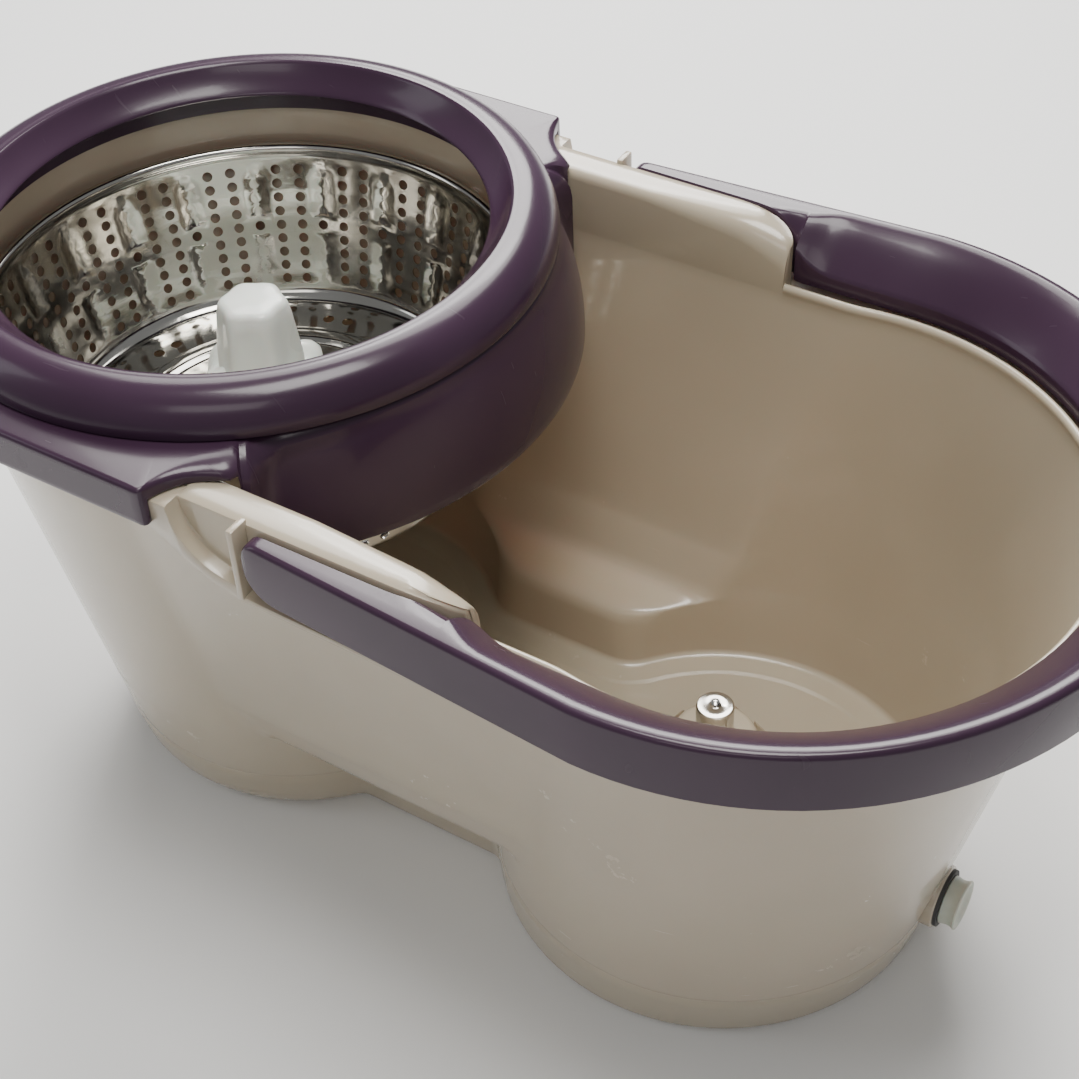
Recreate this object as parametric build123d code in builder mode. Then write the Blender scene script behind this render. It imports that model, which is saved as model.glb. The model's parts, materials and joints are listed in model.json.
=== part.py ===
"""Spin-mop bucket: a two-lobed tub with a steel spin basket under a splash collar,
a wash compartment with a steel mop post, a fold-down carrying handle and a drain plug.

Millimetres, +Z up.  +X points from the spin basket to the wash compartment, the XZ plane
is the plane of symmetry, and the origin is at the middle of the footprint on the floor.
"""
import os
from math import asin, cos, degrees, radians, sin

from build123d import *

# ---------------------------------------------------------------- tub
spin_axis_x = -107.0        # axis of the spin basket, and of the tub's round spin end
wash_axis_x = 106.2         # centre of the tub's round wash end at the rim
rim_height = 189.0          # top of the flange round the wash end
rim_lip = 8.5               # how far the wash end's wall stands above its flange
shoulder_rise = 26.0        # raised rim round the spin end and the shoulders, above the flange
spin_rim_radius = 105.5     # outside radius of the spin end, at rim_height
wash_rim_radius = 105.0     # outside radius of the wash end, at rim_height
spin_foot_x = -101.5        # centre of the spin end where the walls reach the floor
spin_foot_radius = 77.4
wash_foot_x = 89.0          # centre of the wash end where the walls reach the floor
wash_foot_radius = 83.7
wall = 2.6                  # moulded wall, and every flange and skirt of the tub
foot_height = 8.0           # height of the rounded-in foot
spin_foot_inset = 6.0
wash_foot_inset = 1.6
floor_height = 22.0         # top of the inside floor, above the hollow foot
ledge_rise = 26.0           # underside of the waist's ledge, above the inside floor
waist_foot = 48.5           # half width of the waist at the floor
waist_under_ledge = 53.0    # half width of the waist just below its ledge
waist_over_ledge = 74.0     # half width of the waist just above its ledge
waist_rim_inset = 2.0       # the waist at the rim is this much narrower than its narrower end
blend_foot = 8.0            # hollow corner radius of the waist, foot, ledge and rim
blend_ledge = 25.0
blend_rim = 60.0
wash_flange_reach = 19.0    # flange under the handle, past the wall
shoulder_reach = 15.0       # flange under the collar and on the shoulders, past the wall
shoulder_end_x = 58.0       # where each shoulder steps down to the wash rim
shoulder_end_width = 3.5    # width that the shoulder keeps outside the wall at its end
shoulder_hollow_share = 0.75  # share of the tapering shoulder that is hollow
shoulder_skirt = 22.0       # how far the shoulder's outer skirt hangs down
collar_seat_skirt = 7.0     # how far the flange's skirt hangs down under the collar

# ---------------------------------------------------------------- carrying handle
pivot_x = -1.0
pivot_drop = 11.5           # pivot below the top of the shoulders
pivot_radius = 4.0
pivot_length = 7.5          # length of each inward pin
pivot_clearance = 0.08      # radial
pivot_boss_radius = 7.0
pivot_boss_length = 5.0
arm_tail = 13.0             # how far the arm runs past its pin
arm_thickness = 6.0
arm_side_gap = 0.8          # between an arm and its shoulder
handle_reach = 24.8         # outer face of the bail, past the wash end's wall
handle_squash = 0.977       # the bail is this much shorter than a true half circle
handle_inner_gap = 3.0      # between the bail and the lip of the wash end
handle_top_drop = 0.7       # handle's top below the top of the shoulders
handle_rest_gap = 2.7       # between the handle and the flange it hangs over
handle_inner_rise = 10.0    # inner edge of the bail above the flange
handle_wall = 3.0
handle_gap = 2.0            # between the bail and the end of each shoulder
tail_top_round = 5.0
tail_bottom_round = 11.0
stop_tab_gap = 2.5          # between the arm's tail and its stop tab
stop_tab_thickness = 2.5
pocket_reach = 24.0         # length of the round-cornered pocket behind the stop tab

# ---------------------------------------------------------------- collar and splash ring
collar_reach = 20.5         # past the wall of the spin end
collar_rise = 6.0           # collar's top above the top of the shoulders
collar_skirt = 15.0         # height of the collar's outer skirt
collar_wall = 2.6
collar_seat_reach = 6.5     # middle of the rib that stands on the flange, past the wall
flap_end_x = -45.6          # front corners of the two side flaps
flap_overhang = 3.5         # side of each flap, past the flange it covers
flap_front_x = -36.0        # where the flap's front edge meets the throat
flap_front_inset = 17.5     # end of the flap's front edge, inside the spin end's wall
guard_top_reach = 5.1       # splash guard that faces the wash compartment, past the spin wall
guard_flare = 10.6          # how much wider the guard is at its bottom
guard_depth = 45.0
guard_end_gap = 6.2         # between the ends of the guard and the waist's inside
tongue_depth = 63.0         # tongue at each end of the guard, down from the collar's top
tongue_length = 12.0
tongue_gap = 0.6            # between a tongue and the tub's wall
ring_reach = 7.5            # outside of the splash ring, past the spin wall
ring_lip_reach = 11.4       # inner lip of the ring, over the basket's rim
ring_height = 15.0          # top of the ring above the collar
ring_lip_rise = 4.6         # inner lip of the ring above the collar
ring_wall = 2.6
ring_spigot_inset = 4.5     # spigot in the collar's throat, inside the spin end's wall
ring_spigot_length = 7.0
seat_gap = 0.05             # between pieces that are seated in each other

# ---------------------------------------------------------------- spin drive
pedestal_foot_radius = 30.0
pedestal_top_radius = 15.0
pedestal_gap = 28.0         # top of the pedestal below the underside of the basket
pedestal_plate = 4.0
axle_radius = 5.0
axle_shoulder_radius = 8.0
axle_shoulder = 3.0
axle_below_plate = 10.0
axle_rise = 37.0            # top of the axle above the underside of the basket
nut_width = 16.0            # across flats
nut_height = 6.0
washer_radius = 9.0
washer_thickness = 1.5
thread_gap = 0.02
thrust_thickness = 1.0
end_play = 0.3              # between the turning basket and what holds it up or down
running_clearance = 0.05    # radial, bush on axle
bush_radius = 8.0
bush_length = 13.0
clip_thickness = 1.0
clip_radius = 7.5
clip_groove = 0.6
# ---------------------------------------------------------------- spin basket
basket_side_gap = 5.5       # between the basket's rim and the spin end's outside
basket_rim_drop = 17.0      # basket's rim below the top of the raised rim
basket_bead = 1.7           # radius of the rolled edge
basket_floor = 132.0        # underside of the basket
basket_taper = 15.0         # how much narrower the basket is at its floor
basket_corner = 7.0
steel = 0.8
drain_holes = 12
drain_hole_radius = 4.0
drain_hole_inset = 23.0     # circle of the drain holes, inside the basket's foot
# ---------------------------------------------------------------- hub
hub_flange_radius = 40.0
hub_flange_points = 6
hub_flange = 3.0
hub_cup_radius = 24.0
hub_cup_height = 33.0
hub_cap_radius = 15.0
hub_cap_top_radius = 11.0
hub_rise = 62.0             # top of the hub above the underside of the basket
hub_facets = 8
hub_wall = 3.0
under_hub_flange_radius = 28.0
under_hub_flange = 4.0
under_hub_radius = 13.0
hub_screw_circle = 19.5
hub_screws_count = 3
screw_radius = 1.75
screw_head_radius = 3.4
screw_head = 2.2
screw_length = 14.0
screw_clearance = 0.25
# ---------------------------------------------------------------- wash post
wash_post_x = 87.0
wash_post_radius = 7.0
wash_post_rise = 25.4       # top of the post above its dome
dome_radius = 30.0
dome_rise = 33.0            # top of the dome above the inside floor
dome_top_radius = 12.0
dome_plate = 4.0
dome_ribs = 10
dome_rib_thickness = 2.0
stud_radius = 4.0
stud_nut_width = 13.0
stud_washer_radius = 8.0
# ---------------------------------------------------------------- drain
drain_rise = 8.0            # middle of the drain above the inside floor
drain_radius = 6.5
drain_boss_radius = 12.0
drain_boss_stand = 0.6      # how far the boss stands past the wall at its top
gasket_thickness = 1.2
plug_clearance = 0.1
plug_head_radius = 9.6
plug_head_length = 6.5
plug_dish = 2.0
plug_flare = 0.8

# heights and radii that follow from the sizes above
shoulder_height = rim_height + shoulder_rise
ledge_height = floor_height + ledge_rise
waist_rim = min(spin_rim_radius, wash_rim_radius) - waist_rim_inset
pivot_height = shoulder_height - pivot_drop
handle_outer_radius = wash_rim_radius + handle_reach
handle_inner_radius = wash_rim_radius + handle_inner_gap
handle_top = shoulder_height - handle_top_drop
handle_bottom = rim_height + handle_rest_gap
handle_inner_top = rim_height + handle_inner_rise
collar_radius = spin_rim_radius + collar_reach
collar_top = shoulder_height + collar_rise
collar_seat_radius = spin_rim_radius + collar_seat_reach
flap_half_width = spin_rim_radius + shoulder_reach + flap_overhang
flap_front_half_width = spin_rim_radius - flap_front_inset
guard_top_radius = spin_rim_radius + guard_top_reach
guard_bottom_radius = guard_top_radius + guard_flare
guard_bottom = collar_top - guard_depth
guard_half_angle = degrees(asin((waist_rim - wall - guard_end_gap) / guard_bottom_radius))
basket_rim_radius = spin_rim_radius - basket_side_gap
basket_rim_height = shoulder_height - basket_rim_drop
basket_foot_radius = basket_rim_radius - basket_taper
drain_hole_circle = basket_foot_radius - drain_hole_inset
ring_outer_radius = spin_rim_radius + ring_reach
ring_lip_radius = basket_rim_radius - ring_lip_reach
ring_top = collar_top + ring_height
ring_lip_height = collar_top + ring_lip_rise
ring_spigot_radius = spin_rim_radius - ring_spigot_inset
pedestal_height = basket_floor - pedestal_gap
axle_top = basket_floor + axle_rise
hub_top = basket_floor + hub_rise
dome_height = floor_height + dome_rise
wash_post_height = dome_height + wash_post_rise
drain_height = floor_height + drain_rise
BASE = Axis((0, 0, 0), (0, 0, 1))
SPIN_AXIS = Axis((spin_axis_x, 0, 0), (0, 0, 1))
arm_inner = spin_rim_radius + shoulder_reach - arm_thickness + arm_side_gap
pocket_face = arm_inner - arm_side_gap
tail_x = pivot_x - arm_tail
end_wall_lean = (wash_axis_x + wash_rim_radius - wash_foot_x - wash_foot_radius) / rim_height
drain_boss_face_x = (wash_foot_x + wash_foot_radius + drain_boss_stand
                     + end_wall_lean * (drain_height + drain_boss_radius))
stop_tab_x = tail_x - stop_tab_gap


def finish(piece, name):
    """Label a finished piece and write it as its own node."""
    piece.part.label = name
    export_step(piece.part, f"parts/{name}.step")


def lobes(height):
    """Centre and outside radius of the tub's two round ends at a height."""
    share = height / rim_height
    spin = (
        spin_foot_x + (spin_axis_x - spin_foot_x) * share,
        spin_foot_radius + (spin_rim_radius - spin_foot_radius) * share,
    )
    wash = (
        wash_foot_x + (wash_axis_x - wash_foot_x) * share,
        wash_foot_radius + (wash_rim_radius - wash_foot_radius) * share,
    )
    return spin, wash


def between(height, low, high, at_low, at_high):
    """Straight-line value at a height between two heights."""
    return at_low + (at_high - at_low) * (height - low) / (high - low)


def tub_section(height, waist, blend, inset=0.0, tuck=(0.0, 0.0)):
    """Plan outline of the tub: two round ends joined by a narrower, straight waist."""
    spin, wash = lobes(height)
    with BuildSketch(Plane.XY.offset(height)) as section:
        with Locations((spin[0], 0)):
            Circle(spin[1] - inset - tuck[0])
        with Locations((wash[0], 0)):
            Circle(wash[1] - inset - tuck[1])
        with Locations(((spin[0] + wash[0]) / 2, 0)):
            Rectangle(wash[0] - spin[0], 2 * (waist - inset))
        corners = section.vertices().filter_by(lambda corner: abs(corner.Y) > 1)
        fillet(corners, blend + inset)
    return section.sketch


def low_section(height, inset=0.0):
    """Section below the ledge of the waist."""
    waist = between(height, 0, ledge_height, waist_foot, waist_under_ledge)
    return tub_section(height, waist, blend_foot, inset)


def high_section(height, inset=0.0):
    """Section above the ledge of the waist."""
    waist = between(height, ledge_height, rim_height, waist_over_ledge, waist_rim)
    blend = between(height, ledge_height, rim_height, blend_ledge, blend_rim)
    return tub_section(height, waist, blend, inset)


def foot_section(inset=0.0):
    """Section on the floor, where the walls are rounded in."""
    return tub_section(0, waist_foot, blend_foot, inset, (spin_foot_inset, wash_foot_inset))


def radial_plane(centre_x, angle):
    """Plane through a vertical axis: local x runs outwards, local y runs up."""
    outwards = (cos(radians(angle)), sin(radians(angle)), 0)
    sideways = (sin(radians(angle)), -cos(radians(angle)), 0)
    return Plane(origin=(centre_x, 0, 0), x_dir=outwards, z_dir=sideways)


def shoulder_line(x, inset=0.0):
    """Half width of the shoulder at a place along the tub, beside the handle's arm."""
    reach = waist_rim + shoulder_end_width
    share = max(0.0, (x - pivot_x) / (shoulder_end_x - pivot_x))
    return pocket_face + (reach - pocket_face) * share ** 2 - inset


def shoulder_plan(inset, start_x, end_x):
    """Plan of one shoulder outside the wall, with the arm's side curving in to the wall."""
    near_wall = waist_rim - wall + inset
    steps = 4
    stations = [pivot_x + (end_x - pivot_x) * step / steps for step in range(steps + 1)]
    with BuildSketch(Plane.XY) as plan:
        with BuildLine():
            straight = Line((start_x, shoulder_line(start_x, inset)),
                            (pivot_x, shoulder_line(pivot_x, inset)))
            curve = Spline(*[(x, shoulder_line(x, inset)) for x in stations])
            Polyline(curve @ 1, (end_x, near_wall), (start_x, near_wall), straight @ 0)
        make_face()
    return plan.sketch


def pocket_profile():
    """Side view of the room for an arm: open upwards, round-cornered behind the tab."""
    low = rim_height
    tab_x = stop_tab_x - stop_tab_thickness
    with BuildSketch(Plane.XZ) as profile:
        with BuildLine():
            down = Line((tab_x - pocket_reach, shoulder_height + wall),
                        (tab_x - pocket_reach, shoulder_height))
            bend = ThreePointArc(
                down @ 1,
                (tab_x - 0.62 * pocket_reach, shoulder_height - 0.55 * shoulder_skirt),
                (tab_x, shoulder_height - 0.95 * shoulder_skirt),
            )
            Polyline(bend @ 1, (tab_x, low), (shoulder_end_x + wall, low),
                     (shoulder_end_x + wall, shoulder_height + wall), down @ 0)
        make_face()
    return profile.sketch


def make_tub():
    """The moulded tub: walls, raised floor, rims, shoulders, pedestal, dome and drain boss."""
    with BuildPart() as tub:
        loft([foot_section(), low_section(foot_height), low_section(ledge_height)], ruled=True)
        loft([high_section(ledge_height), high_section(rim_height)], ruled=True)
        # raised rim: the spin end and the shoulders keep the rim's plan up to their top
        with BuildSketch(Plane.XY.offset(rim_height)):
            add(high_section(rim_height).moved(Location((0, 0, -rim_height))))
            with Locations((shoulder_end_x + 250, 0)):
                Rectangle(500, 500, mode=Mode.SUBTRACT)
        extrude(amount=shoulder_height - rim_height)
        # lip of the wash end, inside the handle
        with BuildSketch(Plane.XY.offset(rim_height)):
            add(high_section(rim_height).moved(Location((0, 0, -rim_height))))
        extrude(amount=rim_lip)
        # flange with its skirt, under the collar
        with BuildSketch(Plane.XY.offset(shoulder_height)):
            with Locations((spin_axis_x, 0)):
                Circle(spin_rim_radius + shoulder_reach)
            with Locations(((spin_axis_x + flap_end_x) / 2, 0)):
                Rectangle(flap_end_x - spin_axis_x, 2 * (spin_rim_radius + shoulder_reach))
        extrude(amount=-collar_seat_skirt)
        # deeper skirt on the outside of each shoulder
        skirt_end = shoulder_end_x
        skirt_start = flap_end_x - 14
        with BuildSketch(Plane.XY.offset(shoulder_height)):
            with Locations(((skirt_start + skirt_end) / 2, 0)):
                Rectangle(skirt_end - skirt_start, 2 * (spin_rim_radius + shoulder_reach))
        extrude(amount=-shoulder_skirt)
        # flange under the handle
        with BuildSketch(Plane.XY.offset(rim_height)):
            with BuildLine():
                half = wash_rim_radius + wash_flange_reach
                near = spin_rim_radius + shoulder_reach - wall
                bow = CenterArc((wash_axis_x, 0), half, -90, 180)
                Polyline(bow @ 1, (skirt_start, near), (skirt_start, -near), bow @ 0)
            make_face()
        extrude(amount=-wall)
        # room for the arms beside the shoulders
        for side in (1, -1):
            room = extrude(pocket_profile().moved(Location((0, side * pocket_face, 0))),
                           amount=60, dir=(0, side, 0), mode=Mode.PRIVATE)
            add(room, mode=Mode.SUBTRACT)
        with BuildSketch(Plane.XY.offset(rim_height)) as beyond:
            with Locations(((pivot_x + shoulder_end_x) / 2 + 1, 0)):
                Rectangle(shoulder_end_x - pivot_x + 2, 300)
            add(shoulder_plan(0, pivot_x - 1, shoulder_end_x), mode=Mode.SUBTRACT)
            add(shoulder_plan(0, pivot_x - 1, shoulder_end_x).mirror(Plane.XZ), mode=Mode.SUBTRACT)
            with Locations(((pivot_x + shoulder_end_x) / 2, 0)):
                Rectangle(shoulder_end_x - pivot_x + 4, 2 * spin_rim_radius, mode=Mode.SUBTRACT)
        extrude(amount=60, mode=Mode.SUBTRACT)
        # inside of the tub, above the ledge and below it
        ledge_top = ledge_height + wall
        loft([high_section(ledge_top, wall), high_section(rim_height, wall)],
             ruled=True, mode=Mode.SUBTRACT)
        with BuildSketch(Plane.XY.offset(rim_height)):
            add(high_section(rim_height, wall).moved(Location((0, 0, -rim_height))))
        extrude(amount=60, mode=Mode.SUBTRACT)
        loft([low_section(floor_height, wall), low_section(ledge_top, wall)],
             ruled=True, mode=Mode.SUBTRACT)
        # hollow foot
        loft([foot_section(wall), low_section(foot_height, wall),
              low_section(floor_height - wall, wall)], ruled=True, mode=Mode.SUBTRACT)
        # hollow under the shoulders and under the collar's flange
        outline = high_section(rim_height)
        hollow_end = between(shoulder_hollow_share, 0, 1, pivot_x, shoulder_end_x)
        with BuildSketch(Plane.XY.offset(rim_height - 3 * wall)):
            add(shoulder_plan(wall, pivot_x - 1, hollow_end))
            with Locations(((skirt_start + pivot_x) / 2, (pocket_face + spin_rim_radius) / 2)):
                Rectangle(pivot_x - skirt_start, pocket_face - spin_rim_radius - 2 * wall)
            mirror(about=Plane.XZ)
            add(outline.moved(Location((0, 0, -rim_height))), mode=Mode.SUBTRACT)
        extrude(amount=shoulder_height - rim_height + 2 * wall, mode=Mode.SUBTRACT)
        with BuildSketch(Plane.XY.offset(rim_height - 2 * wall)):
            with Locations((spin_axis_x, 0)):
                Circle(spin_rim_radius + shoulder_reach - wall)
            with Locations(((spin_axis_x + skirt_start) / 2, 0)):
                Rectangle(skirt_start - spin_axis_x, 2 * (spin_rim_radius + shoulder_reach - wall))
            add(outline.moved(Location((0, 0, -rim_height))), mode=Mode.SUBTRACT)
            with Locations((skirt_start + 250, 0)):
                Rectangle(500, 500, mode=Mode.SUBTRACT)
        extrude(amount=shoulder_height - rim_height + wall, mode=Mode.SUBTRACT)
        # stop tabs, and bosses with bores for the handle's pins
        tab_height = shoulder_height - rim_height + 1
        tab_y = spin_rim_radius + shoulder_reach / 2 + 2
        with Locations((stop_tab_x - stop_tab_thickness / 2, tab_y, rim_height + tab_height / 2),
                       (stop_tab_x - stop_tab_thickness / 2, -tab_y, rim_height + tab_height / 2)):
            Box(stop_tab_thickness, shoulder_reach - 4, tab_height)
        for side in (1, -1):
            face = Plane(origin=(pivot_x, side * (pocket_face - wall / 2), pivot_height),
                         z_dir=(0, -side, 0))
            with BuildSketch(face):
                Circle(pivot_boss_radius)
            extrude(amount=pivot_boss_length)
            with BuildSketch(face.offset(-wall)):
                Circle(pivot_radius + pivot_clearance)
            extrude(amount=pivot_boss_length + 1.5 * wall, mode=Mode.SUBTRACT)
        # hollow pedestal under the basket
        with BuildSketch(radial_plane(spin_axis_x, 0)):
            with BuildLine():
                Polyline((0, floor_height - wall), (pedestal_foot_radius, floor_height - wall),
                         (pedestal_foot_radius, floor_height), (pedestal_top_radius, pedestal_height),
                         (0, pedestal_height), close=True)
            make_face()
        revolve(axis=SPIN_AXIS)
        with BuildSketch(radial_plane(spin_axis_x, 0)):
            with BuildLine():
                Polyline((0, 0), (pedestal_foot_radius - wall, 0),
                         (pedestal_foot_radius - wall, floor_height - wall),
                         (pedestal_top_radius - wall, pedestal_height - pedestal_plate),
                         (0, pedestal_height - pedestal_plate), close=True)
            make_face()
        revolve(axis=SPIN_AXIS, mode=Mode.SUBTRACT)
        # ribbed dome under the wash post
        post_axis = Axis((wash_post_x, 0, 0), (0, 0, 1))
        with BuildSketch(radial_plane(wash_post_x, 0)):
            with BuildLine():
                base_line = Polyline((dome_top_radius, dome_height), (0, dome_height),
                                     (0, floor_height - wall), (dome_radius, floor_height - wall),
                                     (dome_radius, floor_height))
                bulge = ((dome_radius + dome_top_radius) / 2 - 3,
                         floor_height + 0.45 * (dome_height - floor_height))
                ThreePointArc(base_line @ 1, bulge, base_line @ 0)
            make_face()
        revolve(axis=post_axis)
        for index in range(dome_ribs):
            turn = 360 * (index + 0.5) / dome_ribs
            with BuildSketch(radial_plane(wash_post_x, turn)):
                with BuildLine():
                    Polyline((dome_top_radius - 2, floor_height - 1), (dome_radius - 1, floor_height - 1),
                             (dome_radius - 1, floor_height + 6),
                             (dome_top_radius + 2, dome_height - 4),
                             (dome_top_radius - 2, dome_height - 4), close=True)
                make_face()
            extrude(amount=dome_rib_thickness / 2, both=True)
        with BuildSketch(radial_plane(wash_post_x, 0)):
            with BuildLine():
                Polyline((0, 0), (dome_radius - 2 * wall, 0),
                         (dome_radius - 2 * wall, floor_height - wall),
                         (dome_top_radius - wall, dome_height - 2 * dome_plate),
                         (dome_top_radius - wall, dome_height - dome_plate),
                         (0, dome_height - dome_plate), close=True)
            make_face()
        revolve(axis=post_axis, mode=Mode.SUBTRACT)
        with Locations((spin_axis_x, 0, 0)):
            Hole(axle_radius + thread_gap)
        with Locations((wash_post_x, 0, 0)):
            Hole(stud_radius + thread_gap)
        # drain boss on the end wall
        with BuildSketch(Plane.YZ.offset(drain_boss_face_x)):
            with Locations((0, drain_height)):
                Circle(drain_boss_radius)
        extrude(amount=-2.2 * wall)
        with BuildSketch(Plane.YZ.offset(drain_boss_face_x + 1)):
            with Locations((0, drain_height)):
                Circle(drain_radius)
        extrude(amount=-7 * wall, mode=Mode.SUBTRACT)
    return tub

def turned(centre_x, points):
    """A piece of revolution about a vertical axis, from its radius and height points."""
    with BuildPart() as piece:
        with BuildSketch(radial_plane(centre_x, 0)):
            with BuildLine():
                Polyline(*points, close=True)
            make_face()
        revolve(axis=Axis((centre_x, 0, 0), (0, 0, 1)))
    return piece


def ring_part(centre_x, inner, outer, low, high):
    """A plain washer or bush."""
    return turned(centre_x, [(inner, low), (outer, low), (outer, high), (inner, high)])


def hex_nut(centre_x, bore, width, low, high):
    """A hexagon nut that hangs below what it clamps."""
    with BuildPart() as nut:
        with BuildSketch(Plane.XY.offset(low)):
            with Locations((centre_x, 0)):
                RegularPolygon(width / 2, 6, major_radius=False)
                Circle(bore, mode=Mode.SUBTRACT)
        extrude(amount=high - low)
        chamfer(nut.faces().sort_by(Axis.Z)[0].outer_wire().edges(), 0.8)
    return nut


def arm_outer(x):
    """Half width of the handle's outer face along its straight arms."""
    near = arm_inner + arm_thickness
    far = handle_outer_radius
    return between(x, tail_x, wash_axis_x, near, far)


def bail_profile(outer, inner, plane):
    """Cross-section of the bail: an outer skirt with a top that slopes down inwards."""
    with BuildSketch(plane) as profile:
        with BuildLine():
            Polyline(
                (outer, handle_bottom), (outer, handle_top - 2), (outer - 2, handle_top),
                (outer - 4, handle_top), (inner, handle_inner_top),
                (inner, handle_inner_top - handle_wall), (inner + 1.5, handle_inner_top - handle_wall),
                (outer - handle_wall, handle_top - 1.6 * handle_wall),
                (outer - handle_wall, handle_bottom), close=True,
            )
        make_face()
    return profile.sketch


def make_handle():
    """The carrying handle: half-round bail, two arms and the inward pins they turn on."""
    with BuildPart() as handle:
        # half-round bail, turned about the wash end and squashed a little along the tub
        revolve(bail_profile(handle_outer_radius, handle_inner_radius, radial_plane(0, -90)),
                axis=BASE, revolution_arc=180)
        scale(by=(handle_squash, 1, 1))
        add(handle.part.moved(Location((wash_axis_x, 0, 0))), mode=Mode.REPLACE)
        start = shoulder_end_x + handle_gap
        for side in (1, -1):
            # wide part of the arm, beside the wash compartment
            sections = []
            for x, inner in ((start, wash_rim_radius + 1), (wash_axis_x, handle_inner_radius)):
                plane = Plane(origin=(x, 0, 0), x_dir=(0, side, 0), z_dir=(side, 0, 0))
                sections.append(bail_profile(arm_outer(x), inner, plane))
            loft(sections, ruled=True)
            # narrow part of the arm, outside the shoulder
            with BuildSketch(Plane.XY.offset(handle_bottom)):
                with BuildLine():
                    Polyline(
                        (tail_x, side * arm_inner), (tail_x, side * arm_outer(tail_x)),
                        (start + 6, side * arm_outer(start + 6)),
                        (start + 6, side * (arm_outer(start + 6) - arm_thickness)),
                        (pivot_x + arm_tail, side * arm_inner), close=True,
                    )
                make_face()
            extrude(amount=handle_top - handle_bottom)
            # inward pin
            with BuildSketch(Plane(origin=(pivot_x, side * (arm_inner + 1), pivot_height),
                                   z_dir=(0, -side, 0))):
                Circle(pivot_radius)
            extrude(amount=pivot_length + 1)
        tails = handle.edges().filter_by(Axis.Y).filter_by(lambda edge: edge.center().X < tail_x + 0.1)
        fillet(tails.group_by(Axis.Z)[-1], tail_top_round)
        tails = handle.edges().filter_by(Axis.Y).filter_by(lambda edge: edge.center().X < tail_x + 0.1)
        fillet(tails.group_by(Axis.Z)[0], tail_bottom_round)
    return handle


def collar_plan(inset):
    """Plan outline of the collar: a round spin end with a flap out to each shoulder."""
    half = flap_half_width - inset
    corner_x = flap_end_x - inset
    front_x = flap_front_x - inset
    with BuildSketch(Plane.XY) as plan:
        with Locations((spin_axis_x, 0)):
            Circle(collar_radius - inset)
        with Locations((spin_axis_x + collar_radius, 0)):
            Rectangle(2 * collar_radius, 2 * collar_radius, mode=Mode.SUBTRACT)
        with BuildLine():
            side = Line((spin_axis_x, half), (corner_x, half))
            front = ThreePointArc(side @ 1, (corner_x + 1.5, (half + flap_front_half_width) / 2),
                                  (front_x, flap_front_half_width))
            Polyline(front @ 1, (spin_axis_x, 0), side @ 0)
        make_face()
        mirror(about=Plane.XZ)
        with Locations((spin_axis_x, 0)):
            Circle(guard_top_radius - inset)
    return plan.sketch


def make_collar():
    """The collar: top plate, outer skirt, seat rib and the splash guard inside the tub."""
    throat = ring_spigot_radius + seat_gap
    with BuildPart() as collar:
        skirt_low = Plane.XY.offset(collar_top - collar_skirt)
        with BuildSketch(skirt_low):
            add(collar_plan(0))
        extrude(amount=collar_skirt)
        with BuildSketch(skirt_low):
            add(collar_plan(collar_wall))
        extrude(amount=collar_skirt - collar_wall, mode=Mode.SUBTRACT)
        # the flaps' front edges stand on the shoulders
        shoulder_room = collar_skirt - (collar_top - shoulder_height) + seat_gap
        seat_inner = waist_rim - 1.5 * wall
        seat_outer = flap_half_width - collar_wall
        for side in (1, -1):
            with Locations((flap_front_x - 8, side * (seat_inner + seat_outer) / 2,
                            collar_top - collar_skirt)):
                Box(24, seat_outer - seat_inner, 2 * shoulder_room, mode=Mode.SUBTRACT)
        # splash guard, facing the wash compartment
        with BuildSketch(radial_plane(spin_axis_x, -guard_half_angle)):
            with BuildLine():
                Polyline(
                    (guard_top_radius - collar_wall, collar_top - 1), (guard_top_radius, collar_top - 1),
                    (guard_bottom_radius, guard_bottom),
                    (guard_bottom_radius - collar_wall, guard_bottom), close=True,
                )
            make_face()
        revolve(axis=SPIN_AXIS, revolution_arc=2 * guard_half_angle)
        # tongues beside the shoulders, down inside the tub from the ends of the guard
        tongue_low = collar_top - tongue_depth
        tongue_face = between(tongue_low, ledge_height, rim_height, waist_over_ledge, waist_rim)
        tongue_face -= wall + tongue_gap
        guard_end_x = spin_axis_x + guard_bottom_radius * cos(radians(guard_half_angle))
        for side in (1, -1):
            with Locations((guard_end_x - tongue_length / 4, side * (tongue_face - collar_wall / 2),
                            (tongue_low + collar_top - 1) / 2)):
                Box(tongue_length, collar_wall, tongue_depth - 1)
        # rib that stands on the tub's flange, round the back of the collar
        with BuildSketch(Plane.XY.offset(shoulder_height)):
            with Locations((spin_axis_x, 0)):
                Circle(collar_seat_radius + collar_wall / 2)
                Circle(collar_seat_radius - collar_wall / 2, mode=Mode.SUBTRACT)
            with Locations((spin_axis_x + 250, 0)):
                Rectangle(500, 500, mode=Mode.SUBTRACT)
        extrude(amount=collar_top - shoulder_height - 1)
        with Locations((spin_axis_x, 0, 0)):
            Hole(throat)
    return collar


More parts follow.
